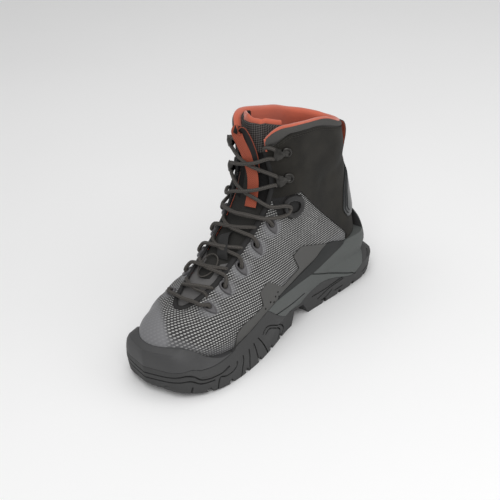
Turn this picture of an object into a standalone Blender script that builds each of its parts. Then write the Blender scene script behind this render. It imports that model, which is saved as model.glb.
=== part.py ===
"""Left wading boot. +Y runs from heel to toe, +Z is up and +X is the inner side of the foot.
The origin is on the floor under the heel's tread. Sizes are in millimetres."""

import math

import bpy
import numpy as np
from mathutils import Vector

MM = 0.001

# Driving sizes
LAST_LENGTH = 302.0
HEEL_TO_ORIGIN = 48.0
BALL_WIDTH = 106.0
BOOT_HEIGHT = 220.0
SOLE_WIDTH = 120.0
WALL = 3.0
COLLAR_WALL = 6.5
GAP = 0.3
PANEL = 1.2
BAND = 2.4
CLIP = 2.4
TONGUE = 4.0
TONGUE_RISE = 6.0
TONGUE_TOP = BOOT_HEIGHT + TONGUE_RISE

LATERAL, MEDIAL = -1, 1

# One row for each level of the upper, from the sole's edge to the top of the tongue.
# back_y, front_y: where the level meets the middle of the heel and of the toe or instep, in last lengths.
# back_z, front_z: the heights there, and sag: how far the level dips at the ball, in boot heights.
# nose, seat: how long the rounding is at the front and at the heel, in last lengths.
LEVEL_SHAPE = [
    # back_y, back_z, front_y, front_z, sag, nose, seat
    (0.017, 0.130, 0.980, 0.134, -0.032, 0.205, 0.120),
    (0.003, 0.209, 1.000, 0.214, -0.035, 0.215, 0.125),
    (-0.002, 0.277, 0.987, 0.259, -0.020, 0.225, 0.125),
    (0.000, 0.341, 0.950, 0.291, 0.000, 0.240, 0.125),
    (0.005, 0.405, 0.901, 0.314, 0.000, 0.245, 0.125),
    (0.010, 0.468, 0.838, 0.341, 0.000, 0.235, 0.125),
    (0.013, 0.527, 0.772, 0.386, 0.000, 0.215, 0.130),
    (0.017, 0.586, 0.702, 0.441, 0.000, 0.200, 0.135),
    (0.018, 0.641, 0.632, 0.498, 0.000, 0.185, 0.140),
    (0.020, 0.695, 0.566, 0.559, 0.000, 0.175, 0.145),
    (0.020, 0.750, 0.510, 0.623, 0.000, 0.168, 0.150),
    (0.020, 0.805, 0.470, 0.695, 0.000, 0.160, 0.150),
    (0.021, 0.859, 0.448, 0.777, 0.000, 0.145, 0.140),
    (0.025, 0.923, 0.440, 0.864, 0.000, 0.130, 0.130),
    (0.029, 0.991, 0.434, 0.950, 0.000, 0.120, 0.125),
    (0.029, 1.055, 0.430, 1.018, 0.000, 0.120, 0.125),
]

# The half widths of each level at the heel, waist, ball and toe, in half ball widths.
WIDTH_STATIONS = (0.13, 0.36, 0.66, 0.90)
LEVEL_WIDTHS = {
    LATERAL: [
        (0.63, 0.70, 0.95, 0.86),
        (0.68, 0.76, 1.01, 0.93),
        (0.69, 0.77, 1.01, 0.88),
        (0.67, 0.75, 0.94, 0.78),
        (0.66, 0.73, 0.85, 0.66),
        (0.66, 0.72, 0.75, 0.55),
        (0.66, 0.72, 0.66, 0.48),
        (0.67, 0.73, 0.61, 0.44),
        (0.68, 0.74, 0.58, 0.42),
        (0.70, 0.75, 0.56, 0.42),
        (0.72, 0.76, 0.56, 0.42),
        (0.74, 0.77, 0.56, 0.42),
        (0.75, 0.77, 0.58, 0.42),
        (0.74, 0.77, 0.60, 0.42),
        (0.71, 0.76, 0.60, 0.42),
        (0.71, 0.76, 0.60, 0.42),
    ],
    MEDIAL: [
        (0.63, 0.60, 0.92, 0.86),
        (0.68, 0.68, 0.98, 0.93),
        (0.69, 0.70, 0.98, 0.89),
        (0.67, 0.70, 0.91, 0.80),
        (0.66, 0.70, 0.83, 0.68),
        (0.66, 0.70, 0.74, 0.56),
        (0.66, 0.71, 0.67, 0.48),
        (0.67, 0.73, 0.61, 0.44),
        (0.68, 0.75, 0.58, 0.42),
        (0.70, 0.76, 0.56, 0.42),
        (0.72, 0.77, 0.56, 0.42),
        (0.74, 0.78, 0.56, 0.42),
        (0.75, 0.77, 0.58, 0.42),
        (0.74, 0.77, 0.60, 0.42),
        (0.71, 0.76, 0.60, 0.42),
        (0.71, 0.76, 0.60, 0.42),
    ],
}
CENTRE_STATIONS = (0.0, 0.36, 0.66, 0.85, 1.0)
CENTRE_SHIFT = (0.0, 0.0, 0.0, 0.02, 0.05)

# How far the collar's edge drops below its highest point, along the shaft from back to front.
COLLAR_STATIONS = (0.0, 0.15, 0.35, 0.60, 0.80, 0.93, 1.0)
COLLAR_DROP = (0.140, 0.100, 0.027, -0.022, -0.052, -0.056, -0.045)
DROP_FROM = 8.5
COLLAR_LEVEL = 14
SOLE_LEVEL = 4
THROAT_LEVEL = 5
TOP_LEVEL = 15
SAG_REACH = 0.85
FINE_STEPS = 241
RING_STEPS = 15
NOSE_STEPS = 3
THROAT_STATIONS = (5, 6, 8, 10, 11, 12, 13, 15)
THROAT_HALF = (14.0, 16.0, 20.0, 26.0, 27.0, 24.0, 20.0, 18.0)
GRID_LEVELS = [0, 0.5, 1, 2, 3, 4, 5, 6, 7, 8, 10, 12, 13, 14, 15]
WALL_LEVELS = (0, 9, 12, 13.2, 15)
WALL_SIZES = (WALL, WALL, 4.0, COLLAR_WALL, COLLAR_WALL)

# The outline of the sole on the floor, in half sole widths, at stations in last lengths.
SOLE_OUTLINE = [
    # station, lateral, medial
    (-0.030, 0.00, 0.00),
    (-0.010, 0.45, 0.43),
    (0.020, 0.65, 0.62),
    (0.060, 0.72, 0.70),
    (0.120, 0.73, 0.72),
    (0.200, 0.72, 0.71),
    (0.280, 0.69, 0.67),
    (0.360, 0.66, 0.60),
    (0.440, 0.67, 0.60),
    (0.520, 0.74, 0.68),
    (0.600, 0.85, 0.79),
    (0.700, 0.96, 0.90),
    (0.800, 1.01, 0.94),
    (0.880, 1.00, 0.92),
    (0.930, 0.93, 0.84),
    (0.970, 0.80, 0.71),
    (1.010, 0.50, 0.45),
    (1.030, 0.00, 0.00),
]
# The height of the tread above the floor: flat under the heel and the ball, raised at both ends.
TREAD_STATIONS = (-0.030, 0.03, 0.07, 0.70, 0.80, 0.88, 0.95, 1.030)
TREAD_HEIGHT = (6.0, 1.2, 0.0, 0.0, 0.4, 1.6, 4.0, 9.0)
# How far the side of the sole stands out beyond the tread and the upper, from heel to toe.
FLARE_STATIONS = (-0.03, 0.10, 0.30, 0.45, 0.60, 0.85, 1.0)
FLARE_OUT = (5.5, 7.0, 2.5, 0.5, 1.5, 1.5, 1.5)
FLARE_HEIGHT = (26.0, 24.0, 20.0, 20.0, 18.0, 20.0, 26.0)


# Lines of the boot's side, in last lengths from the heel and boot heights from the floor.
# The top edge of the sole and the toe cap, from toe to heel.
SOLE_EDGE = [
    (1.152, 0.236), (0.987, 0.236), (0.954, 0.232), (0.921, 0.205),
    (0.894, 0.168), (0.868, 0.145), (0.838, 0.136), (0.791, 0.136),
    (0.775, 0.148), (0.725, 0.176), (0.656, 0.213), (0.619, 0.227),
]
# The line under the toe cap, from the toe to where the cap runs out.
TOE_LINE = [
    (1.152, 0.139), (1.026, 0.141), (0.964, 0.143), (0.934, 0.127),
    (0.901, 0.123), (0.854, 0.125), (0.821, 0.130), (0.791, 0.136),
]
# The front of the arch panel, down from the sole's edge, and the top of the tread from there to the back.
ARCH_LINE = [
    (0.619, 0.227), (0.566, 0.159), (0.483, 0.093), (0.450, 0.084),
    (0.397, 0.084), (0.377, 0.114), (0.308, 0.132), (0.228, 0.114),
    (0.149, 0.077), (0.116, 0.082), (0.073, 0.127), (0.040, 0.173),
    (0.020, 0.245), (0.010, 0.364), (-0.172, 0.364),
]
# The top edge of the stabiliser and the top edge of the dark wedge over it, from front to back.
STABILISER_EDGE = [
    (0.619, 0.227), (0.556, 0.239), (0.427, 0.227), (0.331, 0.218),
    (0.238, 0.232), (0.129, 0.252), (0.019, 0.255),
]
WEDGE_EDGE = [
    (0.556, 0.239), (0.543, 0.248), (0.440, 0.255), (0.315, 0.270),
    (0.228, 0.302), (0.129, 0.252),
]
# The zigzag top edge of the side overlay, from front to back.
OVERLAY_EDGE = [
    (0.780, 0.143), (0.770, 0.208), (0.735, 0.234), (0.634, 0.262),
    (0.632, 0.281), (0.630, 0.324), (0.572, 0.343), (0.517, 0.275),
    (0.401, 0.286), (0.420, 0.366), (0.368, 0.383), (0.228, 0.302),
]
# The ankle panel's front seam, from the collar down to the stabiliser, and the seam under the collar.
ANKLE_SEAM = [
    (0.490, 0.686), (0.349, 0.673), (0.290, 0.568), (0.219, 0.456),
    (0.124, 0.305), (0.114, 0.280), (0.119, 0.255),
]
COLLAR_SEAM = [
    (0.490, 0.900), (0.414, 0.928), (0.395, 0.952), (0.368, 0.977),
    (0.345, 0.986), (0.301, 0.974), (0.215, 0.937), (0.126, 0.882), (0.007, 0.820),
    (-0.172, 0.820),
]
# The heel clip, round its outline.
CLIP_OUTLINE = [
    (0.078, 0.577), (0.104, 0.514), (0.119, 0.418), (0.093, 0.364),
    (0.046, 0.355), (0.008, 0.382), (-0.172, 0.382), (-0.172, 0.645),
    (0.020, 0.627),
]

# The gap under the arch, and the slots of the tread and the grooves of the sole's side, from heel to toe.
ARCH_GAP = [
    (0.364, -0.091), (0.364, 0.000), (0.391, 0.066), (0.440, 0.066), (0.464, 0.000), (0.464, -0.091),
]
TREAD_SLOTS = [
    [(0.066, -0.027), (0.056, 0.024)],
    [(0.139, -0.027), (0.129, 0.024)],
    [(0.212, -0.027), (0.202, 0.024)],
    [(0.288, -0.027), (0.278, 0.024)],
    [(0.536, -0.027), (0.546, 0.024)],
    [(0.609, -0.027), (0.619, 0.024)],
    [(0.682, -0.027), (0.695, 0.024)],
    [(0.755, -0.027), (0.768, 0.024)],
    [(0.828, -0.027), (0.844, 0.024)],
    [(0.907, -0.027), (0.927, 0.032)],
]
SLOT_WIDTH = 4.5
SIDE_GROOVES = [
    [(0.503, 0.018), (0.629, 0.168)],
    [(0.579, 0.014), (0.659, 0.150)],
    [(0.702, 0.014), (0.719, 0.118)],
    [(0.775, 0.014), (0.775, 0.105)],
    [(0.861, 0.091), (0.937, 0.086), (1.026, 0.091), (1.152, 0.095)],
]
GROOVE_WIDTH = 1.4
GROOVE_DEPTH = 1.6
# How far the sole's side stands out from the upper at each level, and how much more at the heel.
SIDE_LEVELS = (0.5, 1, 2, 3, 4)
SIDE_OUT = (6.5, 5.5, 4.2, 2.8, 2.2)
HEEL_OUT = (7.0, 6.0, 4.0, 2.0, 0.5)
HEEL_END = 0.22
# The top of the sole's side: how far it stands out there, and the height over which it rounds out below it.
SOLE_TOP = [
    (-0.172, 0.364), (0.010, 0.364), (0.020, 0.255), (0.129, 0.252), (0.228, 0.302), (0.315, 0.270),
    (0.440, 0.255), (0.543, 0.248), (0.619, 0.227), (0.656, 0.213), (0.725, 0.176), (0.775, 0.148),
    (0.791, 0.136), (0.838, 0.136), (0.868, 0.145), (0.894, 0.168), (0.921, 0.205), (0.954, 0.232),
    (1.152, 0.236),
]
EDGE_OUT = 1.3
EDGE_ROUND = 12.0
# From where to where the toe grows as full as the tread below it, and the height over which it rounds in.
TOE_START = 0.80
TOE_FULL = 0.93
TOE_ROUND = 20.0

# Eyelets, from the toe up: where each hole is, in last lengths and boot heights.
EYELETS = [(0.798, 0.335), (0.714, 0.385), (0.635, 0.440), (0.556, 0.502), (0.482, 0.568)]
EYELET_RADIUS = 2.0
PIN_INWARD = 6.0
PIN_OUTWARD = 3.0
PIN_SIDES = 6
TAB_SHAPE = [(-8.0, 0.0), (-7.0, 3.4), (-1.0, 5.4), (4.5, 4.6), (9.0, 1.6), (10.5, 0.0)]
TAB_THICKNESS = 1.4
ANKLE_LOOP = (0.378, 0.617)
HOOKS = [(0.392, 0.752), (0.385, 0.880)]
LACE_RADIUS = 2.0
LACE_SIDES = 6
# A direction that no cord or pin starts along.
NO_LACE_START = (0.0, 0.37, 0.93)
LACE_LIFT = 5.0
LACE_START = 4.9
BAR_START = 4.4
LACE_ARCH = 5.3
LACE_STEPS = 6
# How high over its row a lace crosses the throat's edge, and how far outside and inside the edge it runs.
LACE_RISE = 6.0
LACE_FIRST_RISE = 8.0
LACE_TUCK = 0.9
LACE_FIRST_TUCK = 1.6
BAR_ARCH = 3.6
BAR_RISE = 3.0
OVER_EDGE = 2.0
UNDER_EDGE = 4.5
# How far in front of the plate's middle the lace turns, and how far above and below it the two ends run.
LOOP_PASS = (14.5, 4.0)
HOOK_PASS = (5.0, 7.8)
LOOP_SHAPE = [(-11.0, 0.0), (-10.0, 6.0), (-2.0, 10.0), (6.0, 8.5), (12.0, 4.0), (13.0, 0.0)]
LOOP_THICKNESS = 2.4
LOOP_HOLE = 4.0
LOOP_HOLE_AT = -5.0
HOOK_PATH = [(8.0, 0.8), (0.0, 0.8), (-4.0, 1.0), (-6.2, 2.6), (-6.0, 5.0), (-3.6, 6.4), (2.5, 6.6)]
HOOK_WIDTHS = (8.0, 9.0, 9.5, 9.5, 9.5, 9.0, 5.0)
HOOK_THICKNESS = 1.4
HOOK_LIFT = 0.6
RIVET_AT = 6.0
RIVET_RADIUS = 3.4
RIVET_HEIGHT = 2.2
RIVET_SIDES = 10
# The pull strap on the tongue: across, height in boot heights and distance in front of the upper's surface.
STRAP_PATH = [
    (-6.0, 0.645, 1.1), (-5.0, 0.695, 0.7), (-4.5, 0.730, 1.1), (-4.0, 0.764, 1.3), (-2.5, 0.800, 1.0),
    (-1.0, 0.836, 0.6), (1.0, 0.880, 1.6), (3.0, 0.920, 5.0), (6.0, 0.975, 8.0), (7.0, 0.997, 6.5),
    (7.0, 0.985, 4.0), (5.0, 0.925, 2.4),
]
STRAP_WIDTH = 12.0
STRAP_THICKNESS = 1.2
# The pull loop on the heel, a little to the lateral side: distance in front of the last's end, and height.
HEEL_LOOP_PATH = [
    (3.8, 0.709), (3.5, 0.741), (-1.3, 0.791), (-3.8, 0.832), (-0.8, 0.859), (5.7, 0.866), (11.7, 0.865),
]
HEEL_LOOP_PLACE = -8.0
HEEL_LOOP_ACROSS = (0.984, -0.177, 0.0)
HEEL_LOOP_WIDTH = 13.0
HEEL_LOOP_THICKNESS = 1.6
# How far the blocks that cut across the boot reach to each side, down and up.
HALF_SPACE = SOLE_WIDTH
UNDER_ALL = -20.0
OVER_ALL = BOOT_HEIGHT + 40.0

SHARP_ANGLE = math.radians(40)

# A word in a piece's name, and its material's name, colour, roughness and metallic value.
MATERIALS = [
    ("midsole", "midsole foam", (0.055, 0.062, 0.058), 0.70, 0.0),
    ("insole", "insole cloth", (0.020, 0.020, 0.020), 0.90, 0.0),
    ("outsole", "sole rubber", (0.035, 0.037, 0.037), 0.75, 0.0),
    ("toe_cap", "toe rubber", (0.040, 0.042, 0.042), 0.70, 0.0),
    ("tongue_strap", "orange webbing", (0.50, 0.10, 0.04), 0.85, 0.0),
    ("tongue", "tongue cloth", (0.035, 0.036, 0.038), 0.90, 0.0),
    ("hook", "gunmetal", (0.10, 0.10, 0.10), 0.35, 1.0),
    ("ankle_loop", "moulded loop", (0.03, 0.03, 0.03), 0.55, 0.0),
    ("lace", "lace", (0.075, 0.070, 0.065), 0.90, 0.0),
    ("heel_loop", "heel webbing", (0.50, 0.10, 0.04), 0.85, 0.0),
    ("ankle_panel", "nubuck", (0.028, 0.028, 0.024), 0.95, 0.0),
    ("collar", "padded cloth", (0.050, 0.052, 0.050), 0.90, 0.0),
    ("clip", "glossy mould", (0.060, 0.064, 0.066), 0.35, 0.0),
    ("wedge", "dark film", (0.020, 0.021, 0.021), 0.50, 0.0),
    ("overlay", "overlay film", (0.060, 0.061, 0.060), 0.55, 0.0),
    ("eyelet_tab", "eyelet mould", (0.045, 0.045, 0.046), 0.50, 0.0),
    ("", "woven mesh", (0.13, 0.13, 0.13), 0.85, 0.0),
]


def hermite(stations, values, at):
    """A smooth curve through the values, read at one place or several."""
    xs = np.asarray(stations, float)
    ys = np.asarray(values, float)
    slopes = np.gradient(ys, xs)
    at = np.clip(np.asarray(at, float), xs[0], xs[-1])
    i = np.clip(np.searchsorted(xs, at, side="right") - 1, 0, len(xs) - 2)
    span = xs[i + 1] - xs[i]
    t = (at - xs[i]) / span
    return (
        ys[i] * (1 + 2 * t) * (1 - t) ** 2
        + slopes[i] * span * t * (1 - t) ** 2
        + ys[i + 1] * t * t * (3 - 2 * t)
        + slopes[i + 1] * span * t * t * (t - 1)
    )


def rounding(distance, length):
    """Grows from 0 to 1 along a quarter ellipse as distance goes from 0 to length."""
    t = np.clip(distance / length, 0, 1)
    return np.sqrt(np.maximum(0, 1 - (1 - t) ** 2))


def eased(t):
    """0 to 1 with a soft start and end."""
    t = np.clip(t, 0, 1)
    return t * t * (3 - 2 * t)


def along(share):
    """A share of the last's length, as a place on Y."""
    return np.asarray(share) * LAST_LENGTH - HEEL_TO_ORIGIN


def level_line(level, side):
    """The outline of one level on one side, from the middle of the heel to the middle of the front."""
    rows = range(len(LEVEL_SHAPE))
    back_y, back_z, front_y, front_z, sag, nose, seat = (
        float(hermite(rows, [row[k] for row in LEVEL_SHAPE], level)) for k in range(7)
    )
    widths = [float(hermite(rows, [row[k] for row in LEVEL_WIDTHS[side]], level)) for k in range(4)]
    t = 0.5 - 0.5 * np.cos(np.pi * np.linspace(0, 1, FINE_STEPS))
    share = back_y + (front_y - back_y) * t
    half = hermite(WIDTH_STATIONS, widths, share) * BALL_WIDTH / 2
    half = half * rounding(share - back_y, seat) * rounding(front_y - share, nose)
    centre = hermite(CENTRE_STATIONS, CENTRE_SHIFT, share) * BALL_WIDTH
    dip = np.sin(np.pi * t * SAG_REACH) ** 2
    height = (back_z + (front_z - back_z) * t + sag * dip) * BOOT_HEIGHT
    rise = eased((level - DROP_FROM) / (COLLAR_LEVEL - DROP_FROM))
    height = height - hermite(COLLAR_STATIONS, COLLAR_DROP, t) * BOOT_HEIGHT * rise
    return np.stack([centre + side * half, along(share), height], 1), half


def resample(points, count):
    """The same line with count + 1 points at even distances."""
    steps = np.linalg.norm(np.diff(points, axis=0), axis=1)
    length = np.concatenate([[0], np.cumsum(steps)])
    wanted = np.linspace(0, length[-1], count + 1)
    return np.stack([np.interp(wanted, length, points[:, k]) for k in range(3)], 1)


def divided(line, half, edge):
    """RING_STEPS steps from the heel to where the front is narrow, and NOSE_STEPS on to its middle."""
    widest = np.argmax(half)
    k = widest + int(np.argmax(half[widest:] < edge))
    return np.concatenate([resample(line[: k + 1], RING_STEPS), resample(line[k:], NOSE_STEPS)[1:]])


def half_ring(level, side):
    """One side of a level of the upper, from the heel by the throat's edge to the middle of the front."""
    line, half = level_line(level, side)
    return divided(line, half, float(np.interp(level, THROAT_STATIONS, THROAT_HALF)))


def closed_ring(lateral, medial):
    """One ring from the front's middle, down the lateral side to the heel and back on the medial side."""
    return np.concatenate([lateral[::-1], medial[1:-1]])


def ring_normals(rings):
    """The outward directions of a stack of closed rings."""
    around = np.roll(rings, -1, axis=1) - np.roll(rings, 1, axis=1)
    up = np.gradient(rings, axis=0)
    normals = np.cross(around, up)
    return normals / np.linalg.norm(normals, axis=2, keepdims=True)


LEVELS = np.array(GRID_LEVELS, float)
RINGS = np.stack([closed_ring(half_ring(v, LATERAL), half_ring(v, MEDIAL)) for v in GRID_LEVELS])
NORMALS = ring_normals(RINGS)
COLUMNS = RINGS.shape[1]


def grown(distance):
    """The upper's rings moved outward by a distance, one for all or one for each level."""
    distance = np.asarray(distance, float)
    if distance.ndim == 1:
        distance = distance[:, None]
    return RINGS + NORMALS * np.broadcast_to(distance, RINGS.shape[:2])[:, :, None]


def material_for(name):
    """The material of the first row whose word is in the name, made once."""
    row = next(row for row in MATERIALS if row[0] in name)
    found = bpy.data.materials.get(row[1])
    if found:
        return found
    material = bpy.data.materials.new(row[1])
    material.use_nodes = True
    shader = material.node_tree.nodes["Principled BSDF"]
    shader.inputs["Base Color"].default_value = (*row[2], 1.0)
    shader.inputs["Roughness"].default_value = row[3]
    shader.inputs["Metallic"].default_value = row[4]
    return material


def make(name, points, faces):
    mesh = bpy.data.meshes.new(name)
    mesh.materials.append(material_for(name))
    mesh.from_pydata([Vector(p) * MM for p in np.asarray(points).reshape(-1, 3)], [], faces)
    part = bpy.data.objects.new(name, mesh)
    bpy.context.scene.collection.objects.link(part)
    return part


def two_triangles(a, b, c, d):
    return [(a, b, c), (a, c, d)]


def rung_faces(start, count, upward):
    """A lid across one ring, with a rung between each lateral point and the medial point across from it."""
    half = count // 2
    faces = [(0, 1, count - 1), (half - 1, half, half + 1)]
    for k in range(1, half - 1):
        faces += two_triangles(k, k + 1, count - k - 1, count - k)
    if not upward:
        faces = [face[::-1] for face in faces]
    return [tuple(start + i for i in face) for face in faces]


def ring_solid(name, rings):
    """A closed solid through a stack of rings, with a lid at both ends."""
    rings = np.asarray(rings)
    levels, count = rings.shape[:2]
    faces = rung_faces(0, count, False) + rung_faces((levels - 1) * count, count, True)
    for j in range(levels - 1):
        for i in range(count):
            k = (i + 1) % count
            faces += two_triangles(j * count + i, j * count + k, (j + 1) * count + k, (j + 1) * count + i)
    return make(name, rings, faces)


def sole_half(side, flared):
    """The outline of the tread on one side, or of the sole's side where it stands out furthest."""
    stations, lateral, medial = zip(*SOLE_OUTLINE)
    halves = lateral if side == LATERAL else medial
    t = 0.5 - 0.5 * np.cos(np.pi * np.linspace(0, 1, FINE_STEPS))
    share = stations[0] + (stations[-1] - stations[0]) * t
    half = np.maximum(hermite(stations, halves, share), 0) * SOLE_WIDTH / 2
    centre = hermite(CENTRE_STATIONS, CENTRE_SHIFT, share) * BALL_WIDTH
    height = np.maximum(hermite(TREAD_STATIONS, TREAD_HEIGHT, share), 0)
    line = np.stack([centre + side * half, along(share), height], 1)
    if flared:
        tangent = np.gradient(line[:, :2], axis=0)
        outward = np.stack([tangent[:, 1], -tangent[:, 0]], 1) * side
        outward /= np.linalg.norm(outward, axis=1, keepdims=True)
        line[:, :2] += outward * hermite(FLARE_STATIONS, FLARE_OUT, share)[:, None]
        line[:, 2] = hermite(FLARE_STATIONS, FLARE_HEIGHT, share)
        line[[0, -1], 0] = centre[[0, -1]]
    return divided(line, half, THROAT_HALF[0] + 4)


def surface_triangles(rings):
    """All triangles of the surface through a stack of rings."""
    levels, count = rings.shape[:2]
    j, i = np.meshgrid(np.arange(levels - 1), np.arange(count), indexing="ij")
    k = (i + 1) % count
    corners = [j * count + i, j * count + k, (j + 1) * count + k, (j + 1) * count + i]
    a, b, c, d = (corner.ravel() for corner in corners)
    return np.concatenate([np.stack([a, b, c], 1), np.stack([a, c, d], 1)])


TRIANGLES = surface_triangles(RINGS)


def land(point, direction, distance=0.0):
    """The place nearest to a point where a line along a direction meets the upper, moved outward."""
    points = RINGS.reshape(-1, 3)
    normals = NORMALS.reshape(-1, 3)
    point = np.asarray(point, float)
    direction = np.asarray(direction, float)
    corner = points[TRIANGLES[:, 0]]
    one = points[TRIANGLES[:, 1]] - corner
    two = points[TRIANGLES[:, 2]] - corner
    cross = np.cross(direction, two)
    scale = (one * cross).sum(1)
    scale = np.where(np.abs(scale) < 1e-9, 1e-9, scale)
    start = point - corner
    u = (start * cross).sum(1) / scale
    turned = np.cross(start, one)
    v = (turned @ direction) / scale
    far = (turned * two).sum(1) / scale
    inside = (u > -1e-6) & (v > -1e-6) & (u + v < 1 + 1e-6)
    pick = np.flatnonzero(inside)[np.argmin(np.abs(far[inside]))]
    a, b, c = TRIANGLES[pick]
    normal = normals[a] * (1 - u[pick] - v[pick]) + normals[b] * u[pick] + normals[c] * v[pick]
    normal = normal / np.linalg.norm(normal)
    return point + direction * far[pick] + normal * distance, normal


def beside(side, share_y, share_z, distance=0.0):
    """The place on one side of the upper at a given length and height."""
    start = (side * 200.0, float(along(share_y)), share_z * BOOT_HEIGHT)
    return land(start, (-side, 0.0, 0.0), distance)


def in_front(x, height, distance=0.0):
    """The place on the front of the upper over the tongue at a given width and height."""
    return land((x, 400.0, height), (0.0, -1.0, 0.0), distance)


def cells(levels, columns):
    """A mask of grid cells that picks levels from low to high and columns by number."""
    mask = np.zeros((len(LEVELS) - 1, COLUMNS), bool)
    low, high = levels
    rows = (LEVELS[:-1] >= low) & (LEVELS[1:] <= high)
    mask[np.ix_(rows, [c % COLUMNS for c in columns])] = True
    return mask


def shell(name, mask, outer, inner):
    """A closed solid between two ring stacks over the picked cells."""
    levels, count = outer.shape[:2]
    total = levels * count
    faces = []
    for j, i in zip(*np.nonzero(mask)):
        k = (i + 1) % count
        a, b, c, d = j * count + i, j * count + k, (j + 1) * count + k, (j + 1) * count + i
        faces += two_triangles(a, b, c, d)
        faces += [(p + total, r + total, q + total) for p, q, r in two_triangles(a, b, c, d)]
        rims = [
            (j == 0 or not mask[j - 1, i], a, b),
            (j == levels - 2 or not mask[j + 1, i], c, d),
            (not mask[j, k], b, c),
            (not mask[j, (i - 1) % count], d, a),
        ]
        for rim, p, q in rims:
            if rim:
                faces += two_triangles(q, p, p + total, q + total)
    points = np.concatenate([outer.reshape(-1, 3), inner.reshape(-1, 3)])
    used = sorted({v for face in faces for v in face})
    order = {v: n for n, v in enumerate(used)}
    return make(name, points[used], [tuple(order[v] for v in face) for face in faces])


def side_points(line):
    """A line of the boot's side in millimetres."""
    return [(float(along(y)), z * BOOT_HEIGHT) for y, z in line]


def shrunk(outline, distance):
    """An outline with every edge moved inward, so that two neighbours stand a gap apart."""
    points = np.array(outline, float)
    area = np.sum(points[:, 0] * np.roll(points[:, 1], -1) - np.roll(points[:, 0], -1) * points[:, 1])
    edges = np.roll(points, -1, axis=0) - points
    edges /= np.linalg.norm(edges, axis=1, keepdims=True)
    inward = np.stack([-edges[:, 1], edges[:, 0]], 1) * np.sign(area)
    before = np.roll(inward, 1, axis=0)
    mitre = inward + before
    mitre /= np.maximum((mitre * inward).sum(1, keepdims=True), 0.5)
    return points + mitre * distance


def prism(outline, low, high):
    """A solid that stands on X over an outline of the boot's side."""
    outline = np.asarray(outline)
    count = len(outline)
    points = [(x, y, z) for x in (low, high) for y, z in outline]
    faces = [tuple(range(count)), tuple(range(2 * count - 1, count - 1, -1))]
    area = np.sum(outline[:, 0] * np.roll(outline[:, 1], -1) - np.roll(outline[:, 0], -1) * outline[:, 1])
    faces += [(i, i + count, (i + 1) % count + count, (i + 1) % count) for i in range(count)]
    if area > 0:
        faces = [face[::-1] for face in faces]
    return make("prism", points, faces)


def apply(part, tool, operation):
    """Joins, cuts or crosses two solids, and keeps the first."""
    modifier = part.modifiers.new("cut", "BOOLEAN")
    modifier.operation = operation
    modifier.solver = "EXACT"
    modifier.object = tool
    bpy.context.view_layer.objects.active = part
    bpy.ops.object.modifier_apply(modifier=modifier.name)
    bpy.data.objects.remove(tool)


def copy_of(part, name):
    twin = bpy.data.objects.new(name, part.data.copy())
    bpy.context.scene.collection.objects.link(twin)
    return twin


def tube(name, path, radius, sides=LACE_SIDES):
    """A closed tube along a path."""
    path = np.asarray(path, float)
    directions = np.gradient(path, axis=0)
    directions /= np.linalg.norm(directions, axis=1, keepdims=True)
    normal = np.cross(directions[0], NO_LACE_START)
    rings = []
    for point, ahead in zip(path, directions):
        normal = normal - ahead * (normal @ ahead)
        normal = normal / np.linalg.norm(normal)
        across = np.cross(ahead, normal)
        turns = np.arange(sides) * 2 * math.pi / sides
        rings.append([point + radius * (math.cos(t) * normal + math.sin(t) * across) for t in turns])
    count = len(rings)
    faces = [tuple(range(sides))[::-1], tuple(range((count - 1) * sides, count * sides))]
    for j in range(count - 1):
        for i in range(sides):
            k = (i + 1) % sides
            faces.append((j * sides + i, j * sides + k, (j + 1) * sides + k, (j + 1) * sides + i))
    return make(name, np.array(rings), faces)


def smooth_path(points, steps):
    """A rounded path through points."""
    points = np.asarray(points, float)
    stations = np.concatenate([[0], np.cumsum(np.linalg.norm(np.diff(points, axis=0), axis=1))])
    at = np.linspace(0, stations[-1], steps + 1)
    return np.stack([hermite(stations, points[:, k], at) for k in range(3)], 1)


def sole_sides(flare):
    """The rings of the sole's side over the upper, rounded in at its top edge and full at the toe."""
    spread = np.interp(LEVELS, SIDE_LEVELS, SIDE_OUT)[:, None]
    heel = np.interp(LEVELS, SIDE_LEVELS, HEEL_OUT)[:, None]
    behind = eased((along(HEEL_END) - RINGS[:, :, 1]) / (along(HEEL_END) - along(0.0)))
    below = np.interp(RINGS[:, :, 1], *zip(*side_points(SOLE_TOP))) - RINGS[:, :, 2]
    out = EDGE_OUT + (spread + heel * behind - EDGE_OUT) * rounding(below, EDGE_ROUND)
    sides = RINGS + NORMALS * out[:, :, None]
    toe = eased((RINGS[:, :, 1] - along(TOE_START)) / (along(TOE_FULL) - along(TOE_START)))
    full = (toe * rounding(below, TOE_ROUND))[:, :, None]
    sides[:, :, :2] += (flare[None, :, :2] - sides[:, :, :2]) * full
    return sides


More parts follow.
